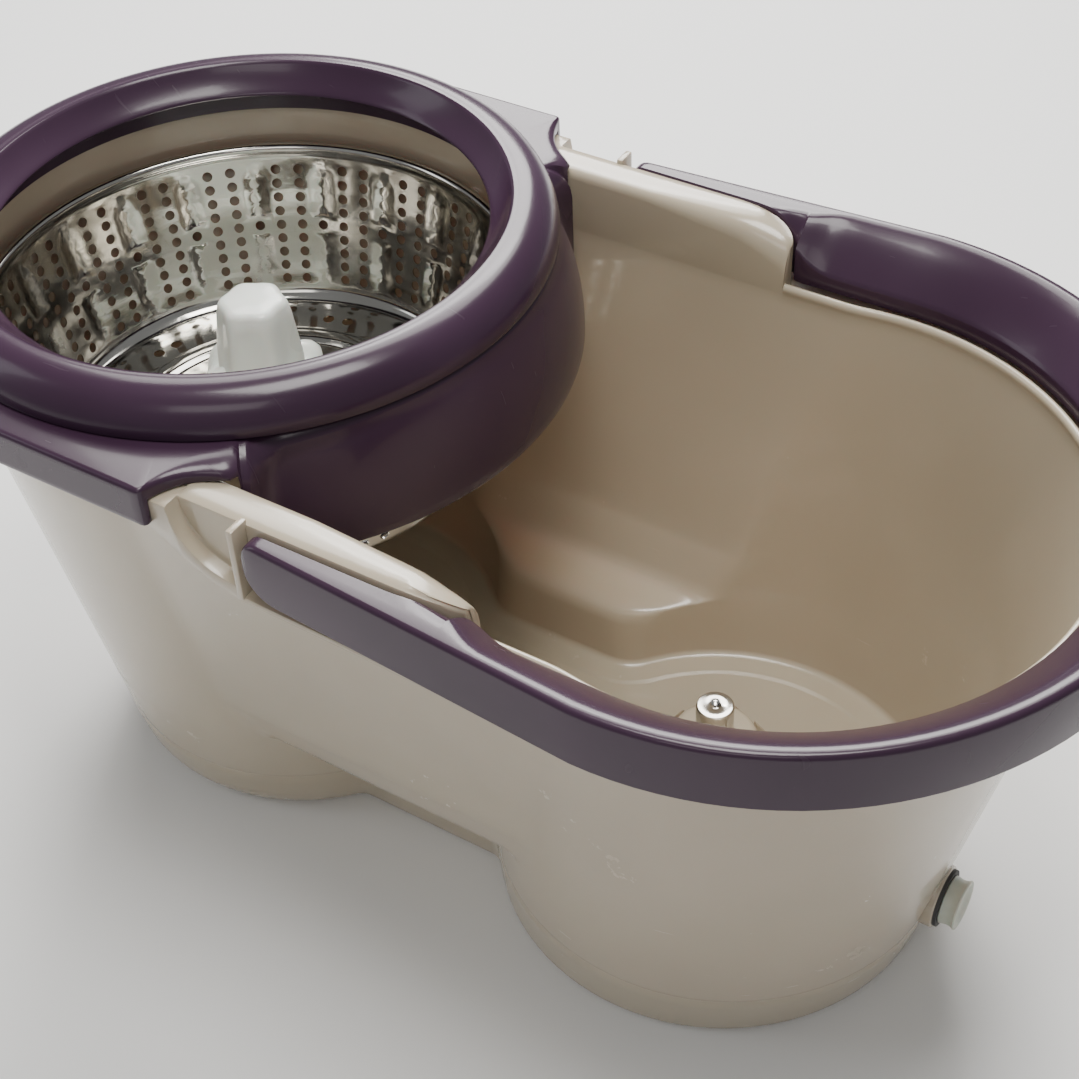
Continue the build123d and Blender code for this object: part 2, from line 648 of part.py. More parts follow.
def make_splash_ring():
    """The rounded ring on top of the collar, with the spigot that drops into its throat."""
    middle = (ring_lip_radius + ring_outer_radius) / 2
    with BuildPart() as ring:
        with BuildSketch(radial_plane(spin_axis_x, 0)):
            with BuildLine():
                low = collar_top + seat_gap
                start = Line((guard_top_radius, low), (ring_outer_radius - 0.6, low + 2))
                shoulder = ThreePointArc(start @ 1, (ring_outer_radius, low + 5),
                                         (ring_outer_radius - 1.6, low + 8.6))
                crown = ThreePointArc(shoulder @ 1, (middle + 1.5, ring_top),
                                      (ring_lip_radius + 1.5, ring_lip_height + 4.4))
                lip = ThreePointArc(crown @ 1, (ring_lip_radius, ring_lip_height + 1.5),
                                    (ring_lip_radius + 1.5, ring_lip_height))
                Polyline(
                    lip @ 1, (ring_lip_radius + ring_wall + 1, ring_lip_height + 3),
                    (middle, ring_top - ring_wall), (ring_outer_radius - 2 * ring_wall, low + 7),
                    (ring_spigot_radius, low + 2), (ring_spigot_radius, low - ring_spigot_length),
                    (ring_spigot_radius - ring_wall, low - ring_spigot_length),
                    (ring_spigot_radius - ring_wall, low + 3.4),
                    (ring_outer_radius - 2.6 * ring_wall, low + 3.4),
                    (ring_outer_radius - 2.6 * ring_wall, low), start @ 0,
                )
            make_face()
        revolve(axis=SPIN_AXIS)
    return ring


def make_basket():
    """The spun steel basket: flat floor, round corner, tapered wall and rolled edge."""
    bead_radius = basket_rim_radius - basket_bead
    bead_height = basket_rim_height - basket_bead
    wall_foot = basket_floor + basket_corner
    with BuildPart() as basket:
        with BuildSketch(radial_plane(spin_axis_x, 0)):
            with BuildLine():
                bore = bush_radius + screw_clearance
                low = Line((bore, basket_floor), (basket_foot_radius - basket_corner, basket_floor))
                outer = ThreePointArc(low @ 1,
                                      (basket_foot_radius - 0.29 * basket_corner,
                                       basket_floor + 0.29 * basket_corner),
                                      (basket_foot_radius, wall_foot))
                up = Line(outer @ 1, (bead_radius - basket_bead + steel, bead_height))
                over = Line(up @ 1, (bead_radius - basket_bead, bead_height))
                down = Line(over @ 1, (basket_foot_radius - steel, wall_foot))
                inner = ThreePointArc(down @ 1,
                                      (basket_foot_radius - 0.29 * basket_corner - 0.71 * steel,
                                       basket_floor + 0.29 * basket_corner + 0.71 * steel),
                                      (basket_foot_radius - basket_corner, basket_floor + steel))
                Polyline(inner @ 1, (bore, basket_floor + steel), low @ 0)
            make_face()
        revolve(axis=SPIN_AXIS)
        with BuildSketch(radial_plane(spin_axis_x, 0)):
            with Locations((bead_radius, bead_height)):
                Circle(basket_bead)
        revolve(axis=SPIN_AXIS)
        spacing = 360 / drain_holes
        for index in range(drain_holes):
            angle = radians(spacing * index)
            with Locations((spin_axis_x + drain_hole_circle * cos(angle),
                            drain_hole_circle * sin(angle), basket_floor)):
                Cylinder(drain_hole_radius, 4 * steel, mode=Mode.SUBTRACT)
        for x, y in screw_places():
            with Locations((x, y, basket_floor)):
                Cylinder(screw_radius + screw_clearance, 4 * steel, mode=Mode.SUBTRACT)
    return basket


def screw_places():
    """Plan positions of the hub's screws."""
    turns = [radians(360 * (index + 0.5) / hub_screws_count) for index in range(hub_screws_count)]
    return [(spin_axis_x + hub_screw_circle * cos(turn), hub_screw_circle * sin(turn))
            for turn in turns]


def make_hub():
    """The white drive hub: pointed flange, fluted cup and faceted cap, hollow inside."""
    floor = basket_floor + steel
    cup_top = floor + hub_cup_height
    with BuildPart() as hub:
        with BuildSketch(Plane.XY.offset(floor)):
            with Locations((spin_axis_x, 0)):
                RegularPolygon(hub_flange_radius, hub_flange_points)
        extrude(amount=hub_flange)
        with BuildSketch(Plane.XY.offset(floor)) as cup:
            with Locations((spin_axis_x, 0)):
                RegularPolygon(hub_cup_radius, hub_facets)
        extrude(amount=hub_cup_height, taper=6)
        with BuildSketch(Plane.XY.offset(cup_top)):
            with Locations((spin_axis_x, 0)):
                RegularPolygon(hub_cap_radius, hub_facets, rotation=180 / hub_facets)
        with BuildSketch(Plane.XY.offset(hub_top)):
            with Locations((spin_axis_x, 0)):
                RegularPolygon(hub_cap_top_radius, hub_facets, rotation=180 / hub_facets)
        loft(ruled=True)
        # bore for the upper bush, then room for the axle's end and its clip
        upper_bush = upper_bush_low()
        with BuildSketch(radial_plane(spin_axis_x, 0)):
            with BuildLine():
                Polyline(
                    (0, floor - 1), (bush_radius - 1, floor - 1), (bush_radius - 1, upper_bush),
                    (bush_radius, upper_bush), (bush_radius, hub_top - 2.5 * hub_wall),
                    (0, hub_top - hub_wall), close=True,
                )
            make_face()
        revolve(axis=SPIN_AXIS, mode=Mode.SUBTRACT)
        for x, y in screw_places():
            with Locations((x, y, floor)):
                Cylinder(screw_radius, 2 * screw_length - 2, mode=Mode.SUBTRACT)
    return hub


def upper_bush_low():
    """Height of the underside of the upper bush."""
    return axle_top - 4 - bush_length


def make_under_hub():
    """The bearing housing below the basket's floor, with holes for the hub screws."""
    top = basket_floor
    low = pedestal_height + axle_shoulder + thrust_thickness + end_play
    with BuildPart() as housing:
        with BuildSketch(radial_plane(spin_axis_x, 0)):
            with BuildLine():
                Polyline(
                    (bush_radius, low), (under_hub_radius, low),
                    (under_hub_radius, top - under_hub_flange - 3),
                    (under_hub_radius + 3, top - under_hub_flange),
                    (under_hub_flange_radius, top - under_hub_flange),
                    (under_hub_flange_radius, top), (bush_radius - 1, top),
                    (bush_radius - 1, low + bush_length), (bush_radius, low + bush_length),
                    close=True,
                )
            make_face()
        revolve(axis=SPIN_AXIS)
        for x, y in screw_places():
            with Locations((x, y, top)):
                Cylinder(screw_radius + screw_clearance, 4 * under_hub_flange, mode=Mode.SUBTRACT)
    return housing


def make_hub_screws():
    """The screws that clamp the hub and the housing onto the basket's floor, from below."""
    head_top = basket_floor - under_hub_flange
    with BuildPart() as screws:
        for x, y in screw_places():
            with Locations((x, y, head_top - screw_head)):
                Cylinder(screw_head_radius, screw_head, align=(Align.CENTER, Align.CENTER, Align.MIN))
            with Locations((x, y, head_top)):
                Cylinder(screw_radius, screw_length, align=(Align.CENTER, Align.CENTER, Align.MIN))
            with Locations((x, y, head_top - screw_head)):
                Box(3.6, 0.9, 2.2, mode=Mode.SUBTRACT)
    return screws


def make_spin_axle():
    """The fixed steel axle: threaded foot, shoulder on the pedestal and a clip groove."""
    foot = pedestal_height - pedestal_plate - axle_below_plate
    groove = clip_low()
    inner = axle_radius - clip_groove
    return turned(spin_axis_x, [
        (0, foot), (axle_radius - 0.5, foot), (axle_radius, foot + 0.5),
        (axle_radius, pedestal_height), (axle_shoulder_radius, pedestal_height),
        (axle_shoulder_radius, pedestal_height + axle_shoulder),
        (axle_radius, pedestal_height + axle_shoulder), (axle_radius, groove),
        (inner, groove), (inner, groove + clip_thickness), (axle_radius, groove + clip_thickness),
        (axle_radius, axle_top - 1), (axle_radius - 1, axle_top), (0, axle_top),
    ])


def clip_low():
    """Height of the underside of the axle's clip."""
    return upper_bush_low() + bush_length + end_play


def make_wash_post():
    """The steel mop post: a plain pin with a smaller threaded stud below it."""
    foot = dome_height - dome_plate - 12
    top = wash_post_height
    return turned(wash_post_x, [
        (0, foot), (stud_radius, foot), (stud_radius, dome_height),
        (wash_post_radius, dome_height), (wash_post_radius, top - 1),
        (wash_post_radius - 1, top), (0, top),
    ])


def make_drain_plug():
    """The push-in drain plug: stem in the bore, waisted head with a dished face."""
    face = drain_boss_face_x + gasket_thickness
    head = face + plug_head_length
    stem = drain_radius - plug_clearance
    waist = plug_head_radius - plug_flare
    with BuildPart() as plug:
        with BuildSketch(Plane.XY.offset(drain_height)):
            with BuildLine():
                outline = Polyline((head - plug_dish, 0), (face - 9, 0), (face - 9, stem - 1),
                                   (face - 8, stem), (face, stem), (face, waist))
                side = ThreePointArc(outline @ 1, (face + plug_head_length / 2, waist - 0.4),
                                     (head - 1, plug_head_radius))
                Polyline(side @ 1, (head, plug_head_radius - 0.8), (head, plug_head_radius - 1.6),
                         (head - plug_dish, plug_head_radius - 4), outline @ 0)
            make_face()
        revolve(axis=Axis((0, 0, drain_height), (1, 0, 0)))
    return plug


def make_drain_gasket():
    """The flat rubber ring between the plug's head and the tub's drain boss."""
    with BuildPart() as gasket:
        with BuildSketch(Plane.YZ.offset(drain_boss_face_x)):
            with Locations((0, drain_height)):
                Circle(drain_boss_radius - 1)
                Circle(drain_radius, mode=Mode.SUBTRACT)
        extrude(amount=gasket_thickness)
    return gasket


os.makedirs("parts", exist_ok=True)

finish(make_tub(), "bucket_shell")
finish(make_handle(), "carry_handle")
finish(make_collar(), "collar_frame")
finish(make_splash_ring(), "splash_ring")

plate_low = pedestal_height - pedestal_plate
nut_top = plate_low - washer_thickness
finish(make_spin_axle(), "spin_axle")
finish(ring_part(spin_axis_x, axle_radius + thread_gap, washer_radius, nut_top, plate_low),
       "axle_washer")
finish(hex_nut(spin_axis_x, axle_radius + thread_gap, nut_width, nut_top - nut_height, nut_top),
       "axle_nut")
thrust_low = pedestal_height + axle_shoulder
finish(ring_part(spin_axis_x, axle_radius + running_clearance, axle_shoulder_radius,
                 thrust_low, thrust_low + thrust_thickness), "thrust_washer")
lower_bush = thrust_low + thrust_thickness + end_play
finish(ring_part(spin_axis_x, axle_radius + running_clearance, bush_radius,
                 lower_bush, lower_bush + bush_length), "lower_bush")
finish(ring_part(spin_axis_x, axle_radius + running_clearance, bush_radius,
                 upper_bush_low(), upper_bush_low() + bush_length), "upper_bush")
finish(ring_part(spin_axis_x, axle_radius - clip_groove + thread_gap, clip_radius,
                 clip_low() + thread_gap, clip_low() + clip_thickness - thread_gap), "axle_clip")
finish(make_basket(), "basket_bowl")
finish(make_hub(), "drive_hub")
finish(make_under_hub(), "under_hub")
finish(make_hub_screws(), "hub_screws")

stud_low = dome_height - dome_plate
finish(make_wash_post(), "wash_post")
finish(ring_part(wash_post_x, stud_radius + thread_gap, stud_washer_radius,
                 stud_low - washer_thickness, stud_low), "wash_post_washer")
finish(hex_nut(wash_post_x, stud_radius + thread_gap, stud_nut_width,
               stud_low - washer_thickness - nut_height, stud_low - washer_thickness),
       "wash_post_nut")
finish(make_drain_plug(), "drain_plug")
finish(make_drain_gasket(), "drain_gasket")
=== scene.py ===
"""Looks of a spin-mop bucket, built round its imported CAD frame.  Metres, +X to the wash end."""
import json
import math

import bpy
import numpy as np
from mathutils import Matrix, Vector

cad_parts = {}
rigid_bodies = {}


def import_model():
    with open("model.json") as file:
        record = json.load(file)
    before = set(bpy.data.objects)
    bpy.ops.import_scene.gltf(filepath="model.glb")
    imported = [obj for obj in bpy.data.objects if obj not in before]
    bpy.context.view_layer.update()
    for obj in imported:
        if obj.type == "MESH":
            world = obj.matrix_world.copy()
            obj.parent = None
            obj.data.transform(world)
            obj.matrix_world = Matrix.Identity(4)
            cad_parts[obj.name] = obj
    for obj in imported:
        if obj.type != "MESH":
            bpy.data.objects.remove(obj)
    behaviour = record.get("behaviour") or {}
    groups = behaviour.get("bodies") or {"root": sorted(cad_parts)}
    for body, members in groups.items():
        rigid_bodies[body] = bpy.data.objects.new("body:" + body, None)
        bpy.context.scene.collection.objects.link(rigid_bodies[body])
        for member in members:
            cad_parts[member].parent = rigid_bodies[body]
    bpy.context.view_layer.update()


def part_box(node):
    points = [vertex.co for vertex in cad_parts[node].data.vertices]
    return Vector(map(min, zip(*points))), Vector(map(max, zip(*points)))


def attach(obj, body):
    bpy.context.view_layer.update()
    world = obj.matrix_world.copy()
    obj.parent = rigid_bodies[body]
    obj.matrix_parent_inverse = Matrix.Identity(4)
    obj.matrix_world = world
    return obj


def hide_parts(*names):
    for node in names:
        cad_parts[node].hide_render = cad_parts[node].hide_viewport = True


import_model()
MM = 0.001

# ---------------------------------------------------------------- studio
# A pale floor, five soft panels and a dim grey-blue surround, as in a small product studio.
# The camera stands over the near side of the wash end and looks down at about 43 degrees.
CAMERA_PLACE = (0.2950, -0.4236, 0.6053)
CAMERA_TURN = math.radians(123.58)
CAMERA_DROP = math.radians(43.10)
CAMERA_ROLL = math.radians(2.72)
CAMERA_LENS = 64.23
LIGHT_TARGET = Vector((0, 0, 0.12))
SURROUND_COLOUR, SURROUND_STRENGTH = (0.92, 0.94, 0.97, 1), 0.27
FLOOR_SIZE, FLOOR_DROP = 9.0, 0.0004


def look_along(turn, drop, roll):
    """Camera rotation that looks along a heading, tipped down and rolled."""
    ahead = Vector((math.cos(drop) * math.cos(turn), math.cos(drop) * math.sin(turn),
                    -math.sin(drop)))
    right = ahead.cross(Vector((0, 0, 1))).normalized()
    down = ahead.cross(right)
    rolled_right = math.cos(roll) * right + math.sin(roll) * down
    rolled_down = -math.sin(roll) * right + math.cos(roll) * down
    return Matrix((rolled_right, -rolled_down, -ahead)).transposed()


bpy.ops.object.camera_add()
camera = bpy.context.object
camera.name = "camera"
camera.matrix_world = Matrix.Translation(CAMERA_PLACE) @ look_along(
    CAMERA_TURN, CAMERA_DROP, CAMERA_ROLL).to_4x4()
camera.data.lens = CAMERA_LENS
camera.data.sensor_width = 36.0
camera.data.clip_start = 0.01
bpy.context.scene.camera = camera

SOFT_LIGHTS = (
    # name, place, size, watts, colour
    ("overhead", (-0.42, 0.72, 1.25), (1.1, 0.6), 17.0, (1.0, 0.985, 0.955)),
    ("window_side", (-1.5, -0.9, 0.9), (0.5, 1.3), 4.0, (0.95, 0.98, 1.0)),
    ("near_side", (0.5, -1.3, 1.5), (0.9, 0.5), 3.5, (1.0, 0.98, 0.95)),
    ("far_bank", (-0.68, 1.35, 1.2), (0.8, 0.9), 29.0, (1.0, 0.985, 0.965)),
    ("top", (0.12, -0.05, 1.3), (0.5, 0.5), 11.0, (1.0, 0.985, 0.955)),
)
for name, place, size, watts, colour in SOFT_LIGHTS:
    bpy.ops.object.light_add(type="AREA", location=place)
    lamp = bpy.context.object
    lamp.name = name
    lamp.data.shape = "RECTANGLE"
    lamp.data.size, lamp.data.size_y = size
    lamp.data.energy = watts
    lamp.data.color = colour
    lamp.rotation_euler = (LIGHT_TARGET - Vector(place)).to_track_quat("-Z", "Y").to_euler()

world = bpy.data.worlds.new("studio")
world.use_nodes = True
world.node_tree.nodes["Background"].inputs["Color"].default_value = SURROUND_COLOUR
world.node_tree.nodes["Background"].inputs["Strength"].default_value = SURROUND_STRENGTH
bpy.context.scene.world = world

bpy.ops.mesh.primitive_plane_add(size=FLOOR_SIZE, location=(0, 0, -FLOOR_DROP))
floor = bpy.context.object
floor.name = "floor"
paper = bpy.data.materials.new("paper_floor")
paper.use_nodes = True
paper.node_tree.nodes["Principled BSDF"].inputs["Base Color"].default_value = (0.93, 0.93, 0.925, 1)
paper.node_tree.nodes["Principled BSDF"].inputs["Roughness"].default_value = 0.75
floor.data.materials.append(paper)

# ---------------------------------------------------------------- tub
# The bucket itself: one beige injection moulding with two round ends, a narrow stepped waist,
# a raised floor on a hollow foot, a rim flange and two shoulders that carry the handle.


class Flow:
    """A shader socket with arithmetic, so that patterns read as formulas."""

    def __init__(self, maker, socket):
        self.maker = maker
        self.socket = socket

    def maths(self, operation, *values):
        return self.maker.node("ShaderNodeMath", {"operation": operation}, *values)

    def __add__(self, other):
        return self.maths("ADD", self, other)

    __radd__ = __add__

    def __mul__(self, other):
        return self.maths("MULTIPLY", self, other)

    def over(self, low, high):
        """0 at low and under, 1 at high and over, smoothly between."""
        return self.maker.node("ShaderNodeMapRange", {"interpolation_type": "SMOOTHSTEP"},
                               self, low, high, 0.0, 1.0)


class Finish:
    """One material: a Principled shader and the pattern nodes that feed it."""

    def __init__(self, name, colour, roughness, **fixed):
        self.material = bpy.data.materials.new(name)
        self.material.use_nodes = True
        self.tree = self.material.node_tree
        self.shader = self.tree.nodes["Principled BSDF"]
        self.set("Base Color", (*colour, 1.0))
        self.set("Roughness", roughness)
        for socket, value in fixed.items():
            self.set(socket.replace("_", " "), value)
        self.place = self.node("ShaderNodeTexCoord", {}, out="Object")

    def set(self, socket, value):
        target = self.shader.inputs[socket]
        if isinstance(value, Flow):
            self.tree.links.new(value.socket, target)
        else:
            target.default_value = value

    def node(self, kind, settings, *values, out=0, **named):
        """Add a node: its settings first, then the values or links of its sockets."""
        made = self.tree.nodes.new(kind)
        for key, value in settings.items():
            setattr(made, key, value)
        pairs = list(enumerate(values)) + [(key.replace("_", " "), v) for key, v in named.items()]
        for key, value in pairs:
            if isinstance(value, Flow):
                self.tree.links.new(value.socket, made.inputs[key])
            else:
                made.inputs[key].default_value = value
        return Flow(self, made.outputs[out])

    def noise(self, scale, detail=2.0, stretch=None, roughness=0.5):
        """Soft noise from 0 to 1 on object coordinates, optionally stretched."""
        where = self.place
        if stretch:
            where = self.node("ShaderNodeMapping", {}, Vector=where, Scale=stretch)
        return self.node("ShaderNodeTexNoise", {}, Vector=where, Scale=scale, Detail=detail,
                         Roughness=roughness)

    def blend(self, share, first, second):
        """Colour that goes from first to second."""
        mixed = self.tree.nodes.new("ShaderNodeMix")
        mixed.data_type = "RGBA"
        self.tree.links.new(share.socket, mixed.inputs[0])
        for index, colour in ((6, first), (7, second)):
            if isinstance(colour, Flow):
                self.tree.links.new(colour.socket, mixed.inputs[index])
            else:
                mixed.inputs[index].default_value = (*colour, 1.0)
        return Flow(self, mixed.outputs[2])

    def bump(self, height, distance, strength=1.0, under=None):
        """Surface relief from a height pattern, in metres, over an earlier relief if given."""
        made = self.tree.nodes.new("ShaderNodeBump")
        made.inputs["Strength"].default_value = strength
        made.inputs["Distance"].default_value = distance
        self.tree.links.new(height.socket, made.inputs["Height"])
        if under:
            self.tree.links.new(under.socket, made.inputs["Normal"])
        return Flow(self, made.outputs[0])


def wrap_sheet(name, points):
    """A flat grid of vertices, one for each given place, moved to those places."""
    rows, columns = points.shape[:2]
    bpy.ops.mesh.primitive_grid_add(x_subdivisions=columns - 1, y_subdivisions=rows - 1, size=2.0)
    sheet = bpy.context.object
    sheet.name = name
    flat = np.empty(rows * columns * 3)
    sheet.data.vertices.foreach_get("co", flat)
    flat = flat.reshape(-1, 3)
    column = np.rint((flat[:, 0] + 1) / 2 * (columns - 1)).astype(int)
    row = np.rint((flat[:, 1] + 1) / 2 * (rows - 1)).astype(int)
    sheet.data.vertices.foreach_set("co", points[row, column].ravel())
    sheet.data.update()
    return sheet


def pick(piece):
    """Select one piece only and make it the active one."""
    bpy.ops.object.select_all(action="DESELECT")
    piece.select_set(True)
    bpy.context.view_layer.objects.active = piece


def edit(piece):
    """Open a piece for editing with its whole mesh selected."""
    pick(piece)
    bpy.ops.object.mode_set(mode="EDIT")
    bpy.ops.mesh.select_mode(type="VERT")
    bpy.ops.mesh.select_all(action="SELECT")


def turn_faces(piece, inside):
    """Turn every face of a piece inwards or outwards."""
    edit(piece)
    bpy.ops.mesh.normals_make_consistent(inside=inside)
    bpy.ops.object.mode_set(mode="OBJECT")


def sew(piece, gap=1e-6, fill=True):
    """Merge vertices that meet, close open rims flat if asked and turn every face outwards."""
    edit(piece)
    bpy.ops.mesh.remove_doubles(threshold=gap)
    bpy.ops.mesh.select_all(action="SELECT")
    bpy.ops.mesh.dissolve_degenerate(threshold=gap)
    if fill:
        bpy.ops.mesh.select_all(action="DESELECT")
        bpy.ops.mesh.select_non_manifold(extend=False, use_wire=False, use_boundary=True,
                                         use_multi_face=False, use_non_contiguous=False,
                                         use_verts=False)
        bpy.ops.mesh.fill_holes(sides=0)
    bpy.ops.object.mode_set(mode="OBJECT")
    turn_faces(piece, inside=False)


def smooth(piece, angle=35.0):
    """Smooth shading, with edges sharper than the angle left crisp."""
    pick(piece)
    bpy.ops.object.shade_smooth_by_angle(angle=math.radians(angle))


def join(pieces, name):
    """Join pieces into the first of them, under a name."""
    pick(pieces[0])
    for piece in pieces[1:]:
        piece.select_set(True)
    bpy.ops.object.join()
    pieces[0].name = name
    return pieces[0]


def settle(piece):
    """Put the piece's place, turn and size into its mesh."""
    pick(piece)
    bpy.ops.object.transform_apply(location=True, rotation=True, scale=True)


def apply_modifier(piece, kind, **settings):
    """Add a modifier to a piece and apply it."""
    pick(piece)
    modifier = piece.modifiers.new(kind.lower(), kind)
    for key, value in settings.items():
        setattr(modifier, key, value)
    bpy.ops.object.modifier_apply(modifier=modifier.name)


def cut(piece, tool):
    """Cut the tool's shape out of a piece."""
    apply_modifier(piece, "BOOLEAN", operation="DIFFERENCE", object=tool, solver="EXACT")
    bpy.data.objects.remove(tool)


def turn_up(name, axis, profile, segments=96, closed=True):
    """A turned piece: a ring drawn up through each radius and height in turn, in millimetres."""
    radius, height = profile[0]
    bpy.ops.mesh.primitive_circle_add(vertices=segments, radius=radius * MM,
                                      location=(axis[0], axis[1], height * MM))
    piece = bpy.context.object
    piece.name = name
    bpy.ops.object.transform_apply(location=True)
    bpy.ops.object.mode_set(mode="EDIT")
    bpy.ops.mesh.select_all(action="SELECT")
    steps = list(profile[1:]) + ([profile[0]] if closed else [])
    for next_radius, next_height in steps:
        bpy.ops.mesh.extrude_edges_move(
            TRANSFORM_OT_translate={"value": (0, 0, (next_height - height) * MM)})
        share = next_radius / radius
        if abs(share - 1) > 1e-9:
            bpy.ops.transform.resize(value=(share, share, 1),
                                     center_override=(axis[0], axis[1], next_height * MM))
        radius, height = next_radius, next_height
    bpy.ops.object.mode_set(mode="OBJECT")
    sew(piece, fill=closed)
    return piece


spin_low, spin_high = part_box("basket_bowl")
post_low, post_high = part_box("wash_post")
SPIN_X = (spin_low.x + spin_high.x) / 2 / MM
WASH_X = 106.2
POST_X = (post_low.x + post_high.x) / 2 / MM
RIM = 189.0
SHOULDER = 215.0
WALL = 2.6
FLOOR = 22.0
SPIN_FOOT, SPIN_RIM = (-101.5, 77.4), (SPIN_X, 105.5)
WASH_FOOT, WASH_RIM = (89.0, 83.7), (WASH_X, 105.0)
# half width of the waist and its corner radius going up: straight riser, ledge, crease, rim
WAIST_UP = (0, 22, 40, 44.5, 47, 48.3, 49.2, 50.2, 51.5, 54, 60, 68, 72.5, 76, 100, 130, 160, RIM)
WAIST_HALF = (48.5, 50.6, 52.4, 53.2, 55, 58, 64, 70, 74, 76.3, 78.6, 81.4, 83, 83.9, 88, 93.2,
              98.2, 103)
BLEND_UP = (0, 22, 44, 52, 76, 130, RIM)
BLEND_RADIUS = (9, 14, 24, 30, 40, 50, 60)
STEP_X = 58.0
LIP = 4.2
FLANGE_REACH = 21.4
RIM_STEPS = 25
TAB_X = -16.5
TAB_THICK = 2.5
POCKET_X = TAB_X - TAB_THICK
POCKET_REACH = 24.0
POCKET_DEPTH = 22.0
ARM_FACE = 114.5
# where the shoulder starts to fall and round in, over what length, how far down, and to where
FALL_X, FALL_LENGTH, FALL_DEPTH, FALL_FACE = 34, 24.0, 7.5, 106.3
SKIRT_Y, SKIRT_WASH_Y, SKIRT_SPIN_REACH = 120.6, 124.0, 17.6
SKIRT_PLACES, SKIRT_HEIGHTS = (-62, -52, -40, -28, POCKET_X), (206, 203, 194.5, 188.6, 186.6)
# places along the straight side where the rim changes, from the wash end to the spin end
SIDE_PLACES = (77, 73, 69, 65, 62, 59.5, STEP_X, STEP_X, 57.7, 57, 55.8, 54, 51.5, 48.5, 45, 40,
               34, 26, 17, 9, 1, -6, -12, -16.6, POCKET_X + 0.02, POCKET_X - 0.02, -22, -25,
               -28.5, -32, -35, -37.5, -39.6, -41.2, -42.3, -42.95, -43.2, -46, -50, -56, -62,
               -68, -74)
WASH_COLUMNS, BLEND_COLUMNS, SPIN_COLUMNS = 36, 8, 38


def lobes(height):
    """Centre and radius of the tub's two round ends at a height."""
    share = min(height, RIM) / RIM
    return tuple(
        (foot[0] + (rim[0] - foot[0]) * share, foot[1] + (rim[1] - foot[1]) * share)
        for foot, rim in ((SPIN_FOOT, SPIN_RIM), (WASH_FOOT, WASH_RIM))
    )


def half_outline(height, inset=0.0, tuck=(0.0, 0.0), waist=None):
    """Points and outward directions from the wash end's middle to the spin end's middle."""
    (spin_x, spin_r), (wash_x, wash_r) = lobes(height)
    spin_r -= inset + tuck[0]
    wash_r -= inset + tuck[1]
    waist = (np.interp(height, WAIST_UP, WAIST_HALF) if waist is None else waist) - inset
    blend = np.interp(height, BLEND_UP, BLEND_RADIUS) + inset
    rise = waist + blend
    wash_run = math.sqrt(max((wash_r + blend) ** 2 - rise ** 2, 1.0))
    spin_run = math.sqrt(max((spin_r + blend) ** 2 - rise ** 2, 1.0))
    wash_turn = math.atan2(rise, -wash_run)
    spin_turn = math.atan2(rise, spin_run)
    line_start, line_end = wash_x - wash_run, spin_x + spin_run
    places, aims = [], []

    def arc(x, y, radius, angles, hollow=False):
        for a in angles:
            places.append((x + radius * math.cos(a), y + radius * math.sin(a)))
            aims.append((-math.cos(a), -math.sin(a)) if hollow else (math.cos(a), math.sin(a)))

    arc(wash_x, 0, wash_r, np.linspace(0, wash_turn, WASH_COLUMNS + 1)[:-1])
    arc(line_start, rise, blend,
        np.linspace(wash_turn - math.pi, -math.pi / 2, BLEND_COLUMNS + 1)[:-1], True)
    for x in SIDE_PLACES:
        share = (RIM_LINE[0] - x) / (RIM_LINE[0] - RIM_LINE[1])
        places.append((line_start + (line_end - line_start) * share, waist))
        aims.append((0.0, 1.0))
    arc(line_end, rise, blend,
        np.linspace(-math.pi / 2, spin_turn - math.pi, BLEND_COLUMNS + 1)[1:], True)
    arc(spin_x, 0, spin_r, np.linspace(spin_turn, math.pi, SPIN_COLUMNS + 1)[1:])
    return np.array(places), np.array(aims)


def whole(half):
    """Both sides of a half outline, as one closed run that ends where it starts."""
    other = half[::-1][1:] * np.array([1.0, -1.0])
    return np.vstack((half, other))


def rim_line():
    """Where the straight side starts and ends at the rim, inside the wall."""
    waist, blend = WAIST_HALF[-1] - WALL, BLEND_RADIUS[-1] + WALL
    runs = [math.sqrt((rim[1] - WALL + blend) ** 2 - (waist + blend) ** 2)
            for rim in (WASH_RIM, SPIN_RIM)]
    return WASH_X - runs[0], SPIN_X + runs[1]


RIM_LINE = rim_line()
STEP_COLUMN = WASH_COLUMNS + BLEND_COLUMNS + SIDE_PLACES.index(STEP_X)
inner_rim, rim_aim = half_outline(RIM, WALL)


def tub_row(height, inset=0.0, tuck=(0.0, 0.0), waist=None):
    """One row of the tub's wall at a height."""
    plan = whole(half_outline(height, inset, tuck, waist)[0])
    return np.column_stack((plan, np.full(len(plan), height)))


